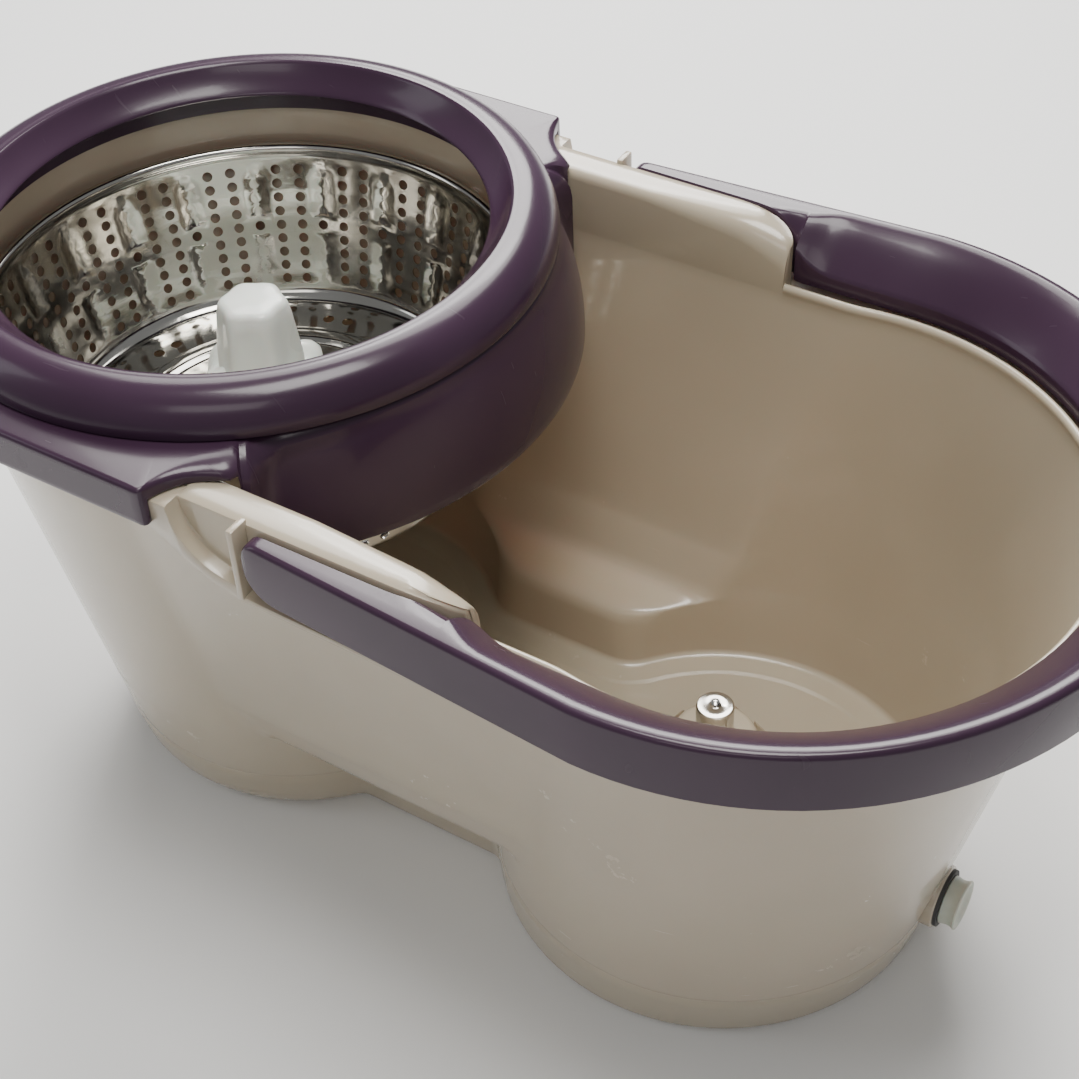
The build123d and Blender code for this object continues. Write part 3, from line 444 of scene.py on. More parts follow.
def rim_rows():
    """Rows over the rim: lip and flange round the wash end, raised rim and skirt elsewhere."""
    reach = FLANGE_REACH
    lip = ((0, 0), (0, LIP - 2.9), (-.35, LIP - 2.1), (-.5, LIP - 1.3), (-.35, LIP - .5),
           (.1, LIP + .2), (.8, LIP + .6), (1.5, LIP + .6), (2.1, LIP + .3), (2.5, LIP - .3),
           (2.6, LIP - 1.1), (2.6, 1.2), (2.9, .3), (3.8, 0), (reach - 1.2, 0), (reach - .3, -.3),
           (reach, -1.2), (reach, -1.4), (reach - .3, -2.2), (reach - 1.2, -2.6), (reach - 2, -2.6),
           (reach - 3, -2.6), (reach - 6, -2.6), (WALL + .8, -2.6), (WALL, -3.4))
    steps = np.empty((RIM_STEPS, len(inner_rim), 2))
    for j, (x, y) in enumerate(inner_rim):
        if j <= STEP_COLUMN:
            steps[:, j] = [(d, RIM + z) for d, z in lip]
            continue
        straight = abs(rim_aim[j][1]) > 0.999 and x < STEP_X + 1
        half_width = np.interp(x, (POCKET_X, WASH_X), (SKIRT_Y, SKIRT_WASH_Y)) - y
        fade = max(0, 1 - (SPIN_X + 28 - x) / 20)
        if x <= SPIN_X + 8:
            outer = SKIRT_SPIN_REACH
        elif straight:
            outer = half_width
        else:
            outer = SKIRT_SPIN_REACH + (half_width - SKIRT_SPIN_REACH) * fade
        if x > POCKET_X and straight:
            pocket, ledge = 1.0, RIM
        elif x > POCKET_X - POCKET_REACH and straight:
            behind = (POCKET_X - x) / POCKET_REACH
            ledge = SHOULDER - POCKET_DEPTH * math.sqrt(1 - behind ** 2)
            pocket = min(1.0, (SHOULDER - ledge) / 3)
        else:
            pocket, ledge = 0.0, SHOULDER
        near_arm = straight and x > POCKET_X - POCKET_REACH - 1
        face = shoulder_edge(x) - y if near_arm else outer - 4
        skirt = min(np.interp(x, SKIRT_PLACES, SKIRT_HEIGHTS), ledge - WALL)
        roll_up = np.interp(x, (0, 40, STEP_X), (3.5, 8, 12)) if straight else 2.2
        roll_in = min(roll_up, 0.8 * face)
        crest = SHOULDER - FALL_DEPTH * (1 - shoulder_fall(x)) if near_arm else SHOULDER
        roll = [(roll_in * (1 - math.cos(a)), crest - roll_up * (1 - math.sin(a)))
                for a in np.radians((0, 18, 36, 54, 72, 90))]
        steps[:, j] = (
            (0, RIM), (0, RIM + LIP - 2.9), *roll, ((roll_in + face) / 2, crest + .7 * pocket),
            (face - 1.2, crest), (face - .35, crest - .35 * pocket),
            (face, crest - 1.2 * pocket), (face, ledge + 1.0 * pocket), (face + .6, ledge),
            (outer - 1.2, ledge), (outer - .35, ledge - .35), (outer, ledge - 1.2),
            (outer, skirt + 1), (outer - .4, skirt + .25), (outer - 1.3, skirt),
            (outer - 2.2, skirt + .25), (outer - WALL, skirt + 1), (outer - WALL, ledge - WALL),
            (WALL + .8, ledge - WALL), (WALL, ledge - WALL - .8))
    rows = []
    for step in steps:
        plan = whole(inner_rim + rim_aim * step[:, :1])
        rows.append(np.column_stack((plan, np.concatenate((step[:, 1], step[::-1][1:, 1])))))
    return rows


def shoulder_fall(x):
    """1 along the shoulder, then down a quarter round to 0 at its end."""
    return math.sqrt(max(0.0, 1 - (max(0, x - FALL_X) / FALL_LENGTH) ** 2))


def shoulder_edge(x):
    """Half width of the shoulder's top beside the arm: straight, then rounding in to its end."""
    return FALL_FACE + (ARM_FACE - FALL_FACE) * shoulder_fall(x)


# how far in and from how far up the foot is rounded: spin end, wash end, waist
FOOT_TUCK = ((7.0, 12.0), (1.8, 4.0), (2.0, 6.0))
WALL_HEIGHTS = (32, 38, 42, 44.5, 46, 47, 47.7, 48.3, 48.8, 49.2, 49.7, 50.2, 50.8, 51.5, 52.6,
                54, 57, 60, 64, 68, 71, 72.5, 74, 76, 82, 90, 100, 112, 124, 136, 148)


def foot_row(height, inset=0.0):
    """A row of the outside wall near the floor, where the ends are rounded in."""
    tucks = [depth * (1 - math.sqrt(1 - max(0, 1 - height / up) ** 2)) for depth, up in FOOT_TUCK]
    return tub_row(height, inset, tucks[:2], np.interp(height, WAIST_UP, WAIST_HALF) - tucks[2])


rows = [tub_row(FLOOR, WALL + 12), tub_row(FLOOR, WALL + 11.2), tub_row(FLOOR + .45, WALL + 10.4),
        tub_row(FLOOR + .5, WALL + 9.5), tub_row(FLOOR + .5, WALL + 3.2)]
rows += [tub_row(FLOOR + .5 + 2.4 * (1 - math.cos(a)), WALL + 2.4 * (1 - math.sin(a)))
         for a in np.radians((0, 15, 30, 45, 60, 75, 90))]
rows += [tub_row(z, WALL) for z in WALL_HEIGHTS + (160, 170, 179, 185)]
rows += rim_rows()
rows += [tub_row(z) for z in (182, 172, 160) + WALL_HEIGHTS[::-1] + (26, 24.4)]
rows += [tub_row(23.8, .28), tub_row(23.2), tub_row(18)]
rows += [foot_row(z) for z in (12, 10, 8, 6.5, 5, 3.8, 2.8, 1.9, 1.2, .6, .15)]
rows += [foot_row(0, .5), foot_row(0, WALL - .4), foot_row(.4, WALL), foot_row(3, WALL),
         foot_row(12, WALL), tub_row(FLOOR - WALL, WALL)]
tub = wrap_sheet("tub", np.array(rows) * MM)
sew(tub, gap=2e-6)

# hollow pedestal under the basket and ribbed dome under the post, both drawn up from the floor
PEDESTAL_BORE, DOME_BORE = 27.4, 24.8
pedestal_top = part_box("thrust_washer")[0].z / MM - 3.0
for x, radius in ((SPIN_X, PEDESTAL_BORE), (POST_X, DOME_BORE)):
    bpy.ops.mesh.primitive_cylinder_add(vertices=96, radius=radius * MM, depth=12 * MM,
                                        location=(x * MM, 0, (FLOOR - 1) * MM))
    cut(tub, bpy.context.object)
pedestal = turn_up("pedestal", (SPIN_X * MM, 0), [
    (PEDESTAL_BORE, FLOOR - WALL), (PEDESTAL_BORE, FLOOR + 1), (12.6, pedestal_top - 4),
    (5.1, pedestal_top - 4),
    (5.1, pedestal_top), (13.8, pedestal_top), (15, pedestal_top - 1.2),
    *[(15 + 12.5 * (1 - t) ** 1.15, FLOOR + 8 + (pedestal_top - FLOOR - 10) * t)
      for t in (.95, .7, .4, .15, 0)],
    (28.6, FLOOR + 3.5), (30.4, FLOOR + 1.2), (33, FLOOR + .5), (33, FLOOR - WALL)])
dome_top = post_high.z / MM - 25.4
dome = turn_up("dome", (POST_X * MM, 0), [
    (DOME_BORE, FLOOR - WALL), (DOME_BORE, FLOOR + 2), (9.4, dome_top - 8), (9.4, dome_top - 4),
    (4.1, dome_top - 4), (4.1, dome_top - .2), (7.2, dome_top - .2), (7.2, dome_top + 10.4),
    (7.8, dome_top + 11), (13.6, dome_top + 11), (15.2, dome_top + 10.3), (16.2, dome_top + 8.6),
    (17.6, dome_top + 3), (20, dome_top - 4), (23.8, dome_top - 12), (28.4, dome_top - 19),
    (32.6, dome_top - 26), (35.4, FLOOR + 3), (37, FLOOR + 1.2), (39.5, FLOOR + .5),
    (39.5, FLOOR - WALL)])
RIB_MIDDLE, RIB_LENGTH, RIB_THICK, RIB_LEAN = 27.5, 24, 2.6, 1.5
ribs = []
for turn in np.arange(10) * 36.0 + 18.0:
    bpy.ops.mesh.primitive_cube_add(size=1, location=(RIB_MIDDLE * MM, 0, (FLOOR + 21) * MM))
    rib = bpy.context.object
    rib.scale = (RIB_LENGTH * MM, RIB_THICK * MM, 43 * MM)
    settle(rib)
    for vertex in rib.data.vertices:
        outside, above = vertex.co.x > RIB_MIDDLE * MM, vertex.co.z > (FLOOR + 18) * MM
        if above:
            vertex.co.z = (FLOOR + 4 if outside else dome_top + 9) * MM
        if above != outside:
            vertex.co.x += RIB_LEAN * MM
    apply_modifier(rib, "BEVEL", width=0.7 * MM, segments=2)
    rib.rotation_euler.z = math.radians(turn)
    rib.location = (POST_X * MM, 0, 0)
    settle(rib)
    ribs.append(rib)

# stop tabs behind the arms, and the drain boss low on the end wall
TAB_Y, TAB_Z = 117.2, 202.2
BOSS_RADIUS, DRAIN_RADIUS = 12, 6.5
tabs = []
for side in (1, -1):
    bpy.ops.mesh.primitive_cube_add(
        size=1, location=((TAB_X - TAB_THICK / 2) * MM, side * TAB_Y * MM, TAB_Z * MM))
    tab = bpy.context.object
    tab.scale = (TAB_THICK * MM, 7.6 * MM, 28.6 * MM)
    settle(tab)
    apply_modifier(tab, "BEVEL", width=0.6 * MM, segments=2)
    tabs.append(tab)
gasket_low, gasket_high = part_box("drain_gasket")
drain_z = (gasket_low.z + gasket_high.z) / 2
bpy.ops.mesh.primitive_cylinder_add(vertices=64, radius=BOSS_RADIUS * MM, depth=6 * MM,
                                    rotation=(0, math.pi / 2, 0),
                                    location=(gasket_low.x - 3 * MM, 0, drain_z))
boss = bpy.context.object
settle(boss)
apply_modifier(boss, "BEVEL", width=0.8 * MM, segments=3, angle_limit=0.6)
tub = join([tub, pedestal, dome, boss, *tabs, *ribs], "tub")
bpy.ops.mesh.primitive_cylinder_add(vertices=48, radius=DRAIN_RADIUS * MM, depth=40 * MM,
                                    rotation=(0, math.pi / 2, 0),
                                    location=(gasket_low.x, 0, drain_z))
cut(tub, bpy.context.object)
smooth(tub, 38)

beige = Finish("beige_tub_plastic", (0.47, 0.40, 0.315), 0.25, Coat_Weight=0.5,
               Coat_Roughness=0.1, Subsurface_Weight=0.05, Subsurface_Scale=0.008)
clouds = beige.noise(7.0, 3.0)
speck = beige.noise(520.0, 2.0)
scuffs = beige.noise(38.0, 6.0, roughness=0.7).over(0.62, 0.80)
hairs = beige.noise(30.0, 3.0, stretch=(1.0, 1.0, 14.0)).over(0.71, 0.80)
beige.set("Base Color", beige.blend(
    scuffs * 0.30, beige.blend(clouds.over(0.3, 0.7), (0.46, 0.395, 0.295), (0.51, 0.44, 0.335)),
    (0.58, 0.53, 0.43)))
beige.set("Roughness", 0.20 + clouds * 0.10 + scuffs * 0.10 + hairs * 0.04)
beige.set("Normal", beige.bump(speck, 0.00003, 0.3, beige.bump(clouds, 0.0012, 0.12)))
tub.data.materials.append(beige.material)
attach(tub, "base")
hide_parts("bucket_shell")

# ---------------------------------------------------------------- carrying handle
# A dark aubergine moulding: a half-round bail over the wash rim and two arms beside the
# shoulders, hollow underneath, that turn on short pins moulded on their inner faces.
HANDLE_LOW, HANDLE_TOP = 191.7, 214.3
TAIL_X, BAIL_OUT, BAIL_IN = -14.0, 129.8, 106.6
BAIL_SQUASH = 0.977
ARM_OUT, ARM_IN, BEND_IN, BEND_END, BEND_LENGTH = 121.3, 115.7, 107.0, 58.7, 25.3
BAIL_PLAN_IN = 105.4
PIN_X, PIN_Y, PIN_Z = -1, 112.7, 203.5


def arm_inside(x):
    """Half width of the arm's inner edge, which follows the shoulder and then the wash rim."""
    if x < FALL_X:
        return ARM_IN
    if x < BEND_END:
        share = (x - FALL_X) / BEND_LENGTH
        return BEND_IN + (ARM_IN - BEND_IN) * math.sqrt(1 - share ** 2)
    return np.interp(x, (BEND_END, 62, WASH_X), (BEND_IN, 106.1, BAIL_IN))


def ease(value, low, high):
    """0 below low, 1 above high, smoothly between."""
    t = min(max((value - low) / (high - low), 0.0), 1.0)
    return t * t * (3 - 2 * t)


def handle_section(x, width):
    """Loop of inward distances and heights round the handle where it has this width."""
    behind = x - TAIL_X
    top = HANDLE_TOP - (5 - math.sqrt(25 - max(0, 5 - behind) ** 2))
    low = HANDLE_LOW + (11 - math.sqrt(121 - max(0, 11 - behind) ** 2))
    bail, hollow = ease(x, 44, 73), ease(x, 58, 80)
    inner_top = top + (199.2 - top) * bail
    inner_low = low + (192.4 - low) * bail
    flat = (width - 1.0) + (3.2 - (width - 1.0)) * ease(x, 40, 73)
    loop = [(.7, low), (0, low + .7), (0, top - 1.8), (.25, top - .9), (.9, top - .25), (1.8, top),
            (1.8 + (flat - 1.8) / 2, top), (flat, top)]
    for share in (.12, .28, .44, .6, .74, .86, .95):
        loop.append((flat + (width - .5 - flat) * share,
                     top - (top - inner_top) * share ** 1.35))
    loop += [(width - .2, inner_top - .3), (width, inner_top - .9), (width, inner_low + .7),
             (width - .7, inner_low)]
    under = [(width - 2.2, inner_low), (width - 2.6, inner_low + .6),
             (width - 2.8, inner_top - 3.4),
             (flat + (width - flat) * .5, top - (top - inner_top) * .31 - 3), (flat, top - 3.2),
             (3.6, top - 3.3), (3.0, top - 4.0), (3.0, low + .7), (2.4, low)]
    for share, (d, z) in zip(np.linspace(.12, .88, len(under)), under):
        flat_d = (width - .7) + (.7 - (width - .7)) * share
        flat_z = inner_low + (low - inner_low) * share
        loop.append((flat_d + (d - flat_d) * hollow, flat_z + (z - flat_z) * hollow))
    return loop + loop[:1]


def both_sides(columns):
    """Rows of points for the +Y half's columns and then their mirror images, in metres."""
    half = np.array(columns)
    mirrored = half[::-1][1:] * np.array([1, -1, 1])
    return np.concatenate((half, mirrored)).transpose(1, 0, 2) * MM


# stations along the handle: its outer place, its inner place and the x that shapes the section
stations = [((x, np.interp(x, (TAIL_X, WASH_X), (ARM_OUT, BAIL_OUT))), (x, arm_inside(x)), x)
            for x in (-14, -13.7, -13.2, -12.4, -11.3, -9.8, -8, -5.5, -3, 2, 8, 14, 20, 26, 32,
                      36, 40, 43, 46, 49, 51.5, 53.5, 55.2, 56.6, 57.7, 58.4, 58.9, 60.5, 63, 66,
                      69, 73, 79, 86, 94, 101)]
for angle in np.radians(np.linspace(90, 0, 31)):
    along, across = math.cos(angle), math.sin(angle)
    stations.append(((WASH_X + BAIL_OUT * BAIL_SQUASH * along, BAIL_OUT * across),
                     (WASH_X + BAIL_PLAN_IN * along, BAIL_IN * across), 200.0))
columns = []
for (out_x, out_y), (in_x, in_y), x in stations:
    width = math.hypot(out_x - in_x, out_y - in_y)
    aim = ((in_x - out_x) / width, (in_y - out_y) / width)
    columns.append([(out_x + aim[0] * d, out_y + aim[1] * d, z)
                    for d, z in handle_section(x, width)])
handle = wrap_sheet("handle", both_sides(columns))
sew(handle)
pins = []
for side in (1, -1):
    bpy.ops.mesh.primitive_cylinder_add(vertices=32, radius=4 * MM, depth=9.5 * MM,
                                        rotation=(math.pi / 2, 0, 0),
                                        location=(PIN_X * MM, side * PIN_Y * MM, PIN_Z * MM))
    pin = bpy.context.object
    settle(pin)
    apply_modifier(pin, "BEVEL", width=0.5 * MM, segments=2, angle_limit=0.6)
    pins.append(pin)
handle = join([handle, *pins], "handle")
smooth(handle, 32)

purple = Finish("aubergine_plastic", (0.03, 0.015, 0.028), 0.2, Coat_Weight=0.16,
                Coat_Roughness=0.08, Specular_IOR_Level=0.34)
cloud = purple.noise(11.0, 3.0)
peel = purple.noise(330.0, 1.5)
dust = purple.noise(900.0, 3.0, roughness=0.7).over(0.66, 0.78)
wear = purple.noise(24.0, 6.0, roughness=0.72).over(0.64, 0.82)
fine_scratches = purple.noise(46.0, 2.0, stretch=(1.0, 9.0, 1.0)).over(0.70, 0.76)
purple.set("Base Color", purple.blend(
    dust * 0.10 + wear * 0.22, purple.blend(cloud.over(0.3, 0.7), (0.036, 0.016, 0.034),
                                            (0.048, 0.023, 0.046)), (0.15, 0.12, 0.14)))
purple.set("Roughness", 0.19 + cloud * 0.10 + wear * 0.20 + fine_scratches * 0.10)
purple.set("Normal", purple.bump(peel, 0.00003, 0.35, purple.bump(cloud, 0.0010, 0.12)))
handle.data.materials.append(purple.material)
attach(handle, "handle")
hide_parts("carry_handle")

# ---------------------------------------------------------------- collar
# The fixed collar over the spin end, of the same aubergine plastic: a flat plate with a skirt,
# two flaps that reach the shoulders, and a splash guard that hangs down inside the tub.
PLATE, PLATE_WALL, THROAT = 221.0, 2.6, 101.05
GUARD_RADIUS, GUARD_LOW, GUARD_FLARE = 113.2, 176.0, 8.0
FLAP_LOW = 215.3
COLLAR_SKIRT_RADIUS, COLLAR_SKIRT_Y, COLLAR_SKIRT_LOW = 125.9, 124.0, 206.0


def wall_inside(height):
    """Half width of the tub's inside beside the collar's tongues."""
    return np.interp(height, WAIST_UP, WAIST_HALF) - WALL - 0.7


def outline_columns():
    """Half outline of the collar: x and y from its axis, bottom, roll in and down, flare."""
    run = []
    for angle in np.linspace(0, 45, 24):
        roll = np.interp(angle, (0, 28, 45), (2.4, 3.0, 7.5))
        turn = math.radians(angle)
        run.append((GUARD_RADIUS * math.cos(turn), GUARD_RADIUS * math.sin(turn),
                    GUARD_LOW, roll, roll, 1.0))
    for angle, radius, low, inward, down in (
            (46.5, 113.8, GUARD_LOW, 9, 10), (47.8, 115.6, GUARD_LOW, 11, 12),
            (48.9, 118, 175.5, 13, 14), (49.8, 120.8, 174, 15, 15), (50.5, 123, 168, 16, 15.5)):
        turn = math.radians(angle)
        run.append((radius * math.cos(turn), radius * math.sin(turn), low, inward, down,
                    np.interp(angle, (46.5, 50.5), (.9, .1))))
    run += [(78.4, 97.0, 159.2, 16, 15, 0), (77.9, 97.3, 158.2, 16, 14, 0),
            (76.0, 98.0, 158.0, 15, 12, 0), (75.6, 98.7, FLAP_LOW, 15, 5.2, 0)]
    flap = ((74.8, 101.6), (72.4, 103), (70, 104.4), (67.6, 106), (65.4, 107.9), (63.4, 109.9),
            (61.7, 112.2), (60.3, 114.6), (59.1, 117.2), (58.3, 119.6), (57.8, 121.2))
    for index, (x, y) in enumerate(flap):
        share = (index / len(flap)) ** .6
        run.append((x, y, FLAP_LOW, 13 - 11 * share, 4.8 - 3.4 * share, 0))
    low, half = COLLAR_SKIRT_LOW, COLLAR_SKIRT_Y
    run += [(57.7, 121.7, low + .2, 1.8, 1.4, 0), (57.5, 122.8, low, 1.8, 1.4, 0),
            (56.9, 123.7, low, 1.8, 1.5, 0), (55.8, half, low, 1.8, 1.6, 0)]
    run += [(x, half, low, 2.0, 1.7, 0) for x in range(53, -23, -4)]
    run += [(COLLAR_SKIRT_RADIUS * math.cos(a), COLLAR_SKIRT_RADIUS * math.sin(a), low, 2.2, 1.8, 0)
            for a in np.radians(np.linspace(101.5, 180, 34))]
    return run


def collar_column(x, y, low, inward, down, flare):
    """One run of points from the throat over the plate and skirt and back underneath."""
    reach = math.hypot(x, y)
    inward = min(inward, reach - 105.5)
    tongue = low < GUARD_LOW and y > 90

    def skin(z, inset=0.0):
        share = min(max((PLATE - down - z) / (PLATE - down - 180), 0), 1)
        radius = reach + GUARD_FLARE * flare * math.sin(math.pi / 2 * share) ** 0.9
        if tongue:
            radius = min(radius, wall_inside(z) / (y / reach))
        return radius - inset

    points = [(THROAT, 214), (THROAT, 219.8), (THROAT + .3, 220.6), (THROAT + 1.1, PLATE),
              (104, PLATE), ((104 + reach - inward) / 2, PLATE), (reach - inward, PLATE)]
    points += [(reach - inward * (1 - math.sin(a)), PLATE - down * (1 - math.cos(a)))
               for a in np.radians((15, 30, 45, 60, 75, 90))]
    side = PLATE - down
    points += [(skin(side + (low + 1.2 - side) * t), side + (low + 1.2 - side) * t)
               for t in (.08, .2, .35, .5, .65, .8, .92, 1)]
    points += [(skin(low, .3), low + .3), (skin(low, 1.2), low), (skin(low, 2.2), low + .2)]
    roof = PLATE - PLATE_WALL
    points += [(skin(low + 1 + (roof - low - 1) * t, PLATE_WALL), low + 1 + (roof - low - 1) * t)
               for t in (0, .25, .5, .75)]
    points += [(max(reach - inward - 1, 104.9), roof), ((104.7 + reach - inward) / 2, roof),
               (104.6, roof), (THROAT + 2.6, roof - .8), (THROAT + 2.6, 214.5), (THROAT + 2.1, 214),
               (THROAT + .5, 214), (THROAT, 214)]
    return [(SPIN_X + x / reach * radius, y / reach * radius, z) for radius, z in points]


collar = wrap_sheet("collar", both_sides([collar_column(*each) for each in outline_columns()]))
sew(collar, gap=2e-6)
smooth(collar, 34)
collar.data.materials.append(purple.material)
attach(collar, "base")
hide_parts("collar_frame")

# ---------------------------------------------------------------- splash ring
# The glossy ring that snaps into the collar's throat: a fat rounded crown, a fine parting line
# along its crest, and a steep inner face that ends in a lip over the basket.
ring = turn_up("ring", (SPIN_X * MM, 0), [
    (101.0, 221.1), (112.6, 221.1), (113.2, 221.5), (113.3, 222.6), (113.0, 224.6), (112.3, 226.8),
    (111.0, 229.4), (109.2, 231.8), (106.8, 233.8), (104.0, 235.2), (101.4, 235.8), (99.2, 235.9),
    (98.0, 235.7), (97.5, 235.9), (97.0, 235.6), (96.4, 234.8), (95.4, 233.4), (93.8, 231.4),
    (92.0, 229.5), (90.4, 228.0), (89.2, 226.9), (88.7, 226.3), (88.6, 225.9), (88.8, 225.5),
    (89.4, 225.4), (90.6, 225.7), (92.6, 227.4), (95.2, 230.0), (97.2, 232.2), (98.4, 232.6),
    (98.4, 214.6), (98.9, 214.1), (100.5, 214.1), (101.0, 214.6)], segments=192)
smooth(ring, 40)
ring.data.materials.append(purple.material)
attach(ring, "base")
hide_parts("splash_ring")

# ---------------------------------------------------------------- spin basket
# A deep-drawn stainless bowl with a rolled edge.  The wall is punched with nine rows of round
# holes; every third column keeps only its middle hole and carries a shallow pressed dent.
COLUMNS, HOLE_ROWS = 66, 9
WALL_LOW, WALL_HIGH = 139.0, 190.6
LOW_RADIUS, HIGH_RADIUS = 86.2, 97.6
HOLE_ACROSS, HOLE_UP = 0.225, 0.345
DENT_DEPTH, DENT_REACH = 0.8, 0.6
BASKET_FLOOR = 132.8
DRAIN_PAIRS, DRAIN_PITCH, DRAIN_CIRCLE, DRAIN_HOLE = 12, 6.8, 70, 2.3


def hole_cell(name, punched):
    """One square cell of the wall, one unit a side, with a round hole or solid."""
    bpy.ops.mesh.primitive_circle_add(vertices=16, radius=1.0)
    cell = bpy.context.object
    cell.name = name
    bpy.ops.object.mode_set(mode="EDIT")
    if not punched:
        bpy.ops.mesh.edge_face_add()
    bpy.ops.mesh.select_mode(type="EDGE")
    bpy.ops.mesh.select_all(action="SELECT")
    if not punched:
        bpy.ops.mesh.select_non_manifold()
    bpy.ops.mesh.extrude_edges_move()
    bpy.ops.transform.resize(value=(1.3, 1.3, 1), center_override=(0, 0, 0))
    bpy.ops.mesh.extrude_edges_move()
    bpy.ops.transform.resize(value=(2.0, 2.0, 1), center_override=(0, 0, 0))
    bpy.ops.object.mode_set(mode="OBJECT")
    for vertex in cell.data.vertices:
        x, y = vertex.co.x, vertex.co.y
        if math.hypot(x, y) > 2:
            angle = math.atan2(y, x)
            stretch = 1 / max(abs(math.cos(angle)), abs(math.sin(angle)))
            # sixteen points round the square, a quarter of a side apart
            vertex.co.x = round(2 * math.cos(angle) * stretch) / 4
            vertex.co.y = round(2 * math.sin(angle) * stretch) / 4
        else:
            vertex.co.x, vertex.co.y = x * HOLE_ACROSS, y * HOLE_UP
    return cell


def repeat(piece, count, step):
    """Repeat a piece along a step, sewing the copies together."""
    apply_modifier(piece, "ARRAY", count=count, use_relative_offset=False, use_constant_offset=True,
                   constant_offset_displace=step, use_merge_vertices=True, merge_threshold=0.001)


def copy_at(piece, x, y):
    """A copy with its own mesh, moved in plan."""
    twin = piece.copy()
    twin.data = piece.data.copy()
    bpy.context.collection.objects.link(twin)
    for vertex in twin.data.vertices:
        vertex.co.x += x
        vertex.co.y += y
    return twin


punched, plain = hole_cell("punched", True), hole_cell("plain", False)
middle = HOLE_ROWS // 2
plain_column = [copy_at(plain, 2, row) for row in range(HOLE_ROWS) if row != middle]
lone_hole = copy_at(punched, 2, middle)
repeat(punched, HOLE_ROWS, (0, 1, 0))
second = copy_at(punched, 1, 0)
sheet = join([punched, second, lone_hole, *plain_column], "basket")
bpy.data.objects.remove(plain)
repeat(sheet, COLUMNS // 3, (3, 0, 0))
for vertex in sheet.data.vertices:
    across, up = vertex.co.x + 0.5, (vertex.co.y + 0.5) / HOLE_ROWS
    if abs(up - 0.5) < 0.08:
        dent = 0.0
    else:
        dent = max(0.0, 1 - abs(across % 3 - 2.5) / DENT_REACH) * min(1, 8 * up, 8 * (1 - up))
    radius = LOW_RADIUS + (HIGH_RADIUS - LOW_RADIUS) * up + DENT_DEPTH * dent
    turn = across / COLUMNS * 2 * math.pi
    vertex.co = (radius * math.cos(turn) * MM, radius * math.sin(turn) * MM,
                 (WALL_LOW + (WALL_HIGH - WALL_LOW) * up) * MM)
bottom = turn_up("bottom", (0, 0), [(radius, BASKET_FLOOR + rise) for radius, rise in (
    (28, 0), (33, 0), (46, 0), (52, 0), (54, .3), (55.5, 1.1), (57, 1.4), (59, 1.4), (60.5, 1.1),
    (62, .3), (64, 0), (70, 0), (76, 0), (79.5, .25), (82, 1.1), (84, 2.5), (85.4, 4.3),
    (LOW_RADIUS, WALL_LOW - BASKET_FLOOR))], segments=4 * COLUMNS, closed=False)
roll = [(98.5 + 1.5 * math.cos(a), 196.3 + 1.5 * math.sin(a))
        for a in np.radians(np.linspace(170, -100, 12))]
edge = turn_up("edge", (0, 0), [
    (HIGH_RADIUS, WALL_HIGH), (97.9, 192.4), (98.1, 194.4), (97.5, 195.3), *roll],
    segments=4 * COLUMNS, closed=False)
basket = join([sheet, bottom, edge], "basket")
sew(basket, gap=2e-5, fill=False)
turn_faces(basket, inside=True)
apply_modifier(basket, "SOLIDIFY", thickness=0.7 * MM, offset=-1.0, use_even_offset=False)
turn_faces(basket, inside=False)
drills = []
for pair in range(DRAIN_PAIRS):
    for side in (-1, 1):
        turn = math.radians(pair * 360 / DRAIN_PAIRS + 15 + side * DRAIN_PITCH / 2)
        bpy.ops.mesh.primitive_cylinder_add(
            vertices=20, radius=DRAIN_HOLE * MM, depth=8 * MM,
            location=(DRAIN_CIRCLE * MM * math.cos(turn), DRAIN_CIRCLE * MM * math.sin(turn),
                      BASKET_FLOOR * MM))
        drills.append(bpy.context.object)
cut(basket, join(drills, "drills"))
for vertex in basket.data.vertices:
    vertex.co.x += SPIN_X * MM
smooth(basket, 50)

steel = Finish("mirror_steel", (0.60, 0.585, 0.55), 0.1, Metallic=1.0)
swirl = steel.noise(13.0, 4.0, stretch=(1.0, 1.0, 2.5))
smear = steel.noise(34.0, 5.0, roughness=0.65).over(0.52, 0.75)
grain = steel.noise(160.0, 2.0, stretch=(1.0, 1.0, 9.0))
spots = steel.noise(210.0, 3.0).over(0.66, 0.74)
steel.set("Base Color", steel.blend(
    spots * 0.5, steel.blend(swirl.over(0.3, 0.7), (0.50, 0.485, 0.44), (0.66, 0.645, 0.61)),
    (0.36, 0.33, 0.27)))
steel.set("Roughness", 0.07 + grain * 0.06 + smear * 0.20 + spots * 0.15)
steel.set("Normal", steel.bump(grain, 0.00003, 0.3, steel.bump(swirl, 0.0016, 0.4)))
basket.data.materials.append(steel.material)
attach(basket, "basket")
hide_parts("basket_bowl")

# ---------------------------------------------------------------- hub
# The white moulded drive hub screwed to the basket's floor: a flat pointed flange, a wide fluted
# cup with a scalloped edge, and a narrower fluted cone that takes the mop head.
HUB_LOW, CUP_LOW, CONE_LOW, CONE_HIGH = BASKET_FLOOR, 135, 168, 190.5
turns = np.linspace(0, 2 * math.pi, 145)
flutes = np.cos(6 * turns)
scallops = 160 + 4.5 * np.cos(3 * turns) ** 2
cup_rim = 22.5 * (1 + 0.035 * flutes)
cup_neck = 15.6 * (1 - 0.05 * flutes)
flange = 28 + 16 * np.abs(np.cos(1.5 * turns)) ** 5
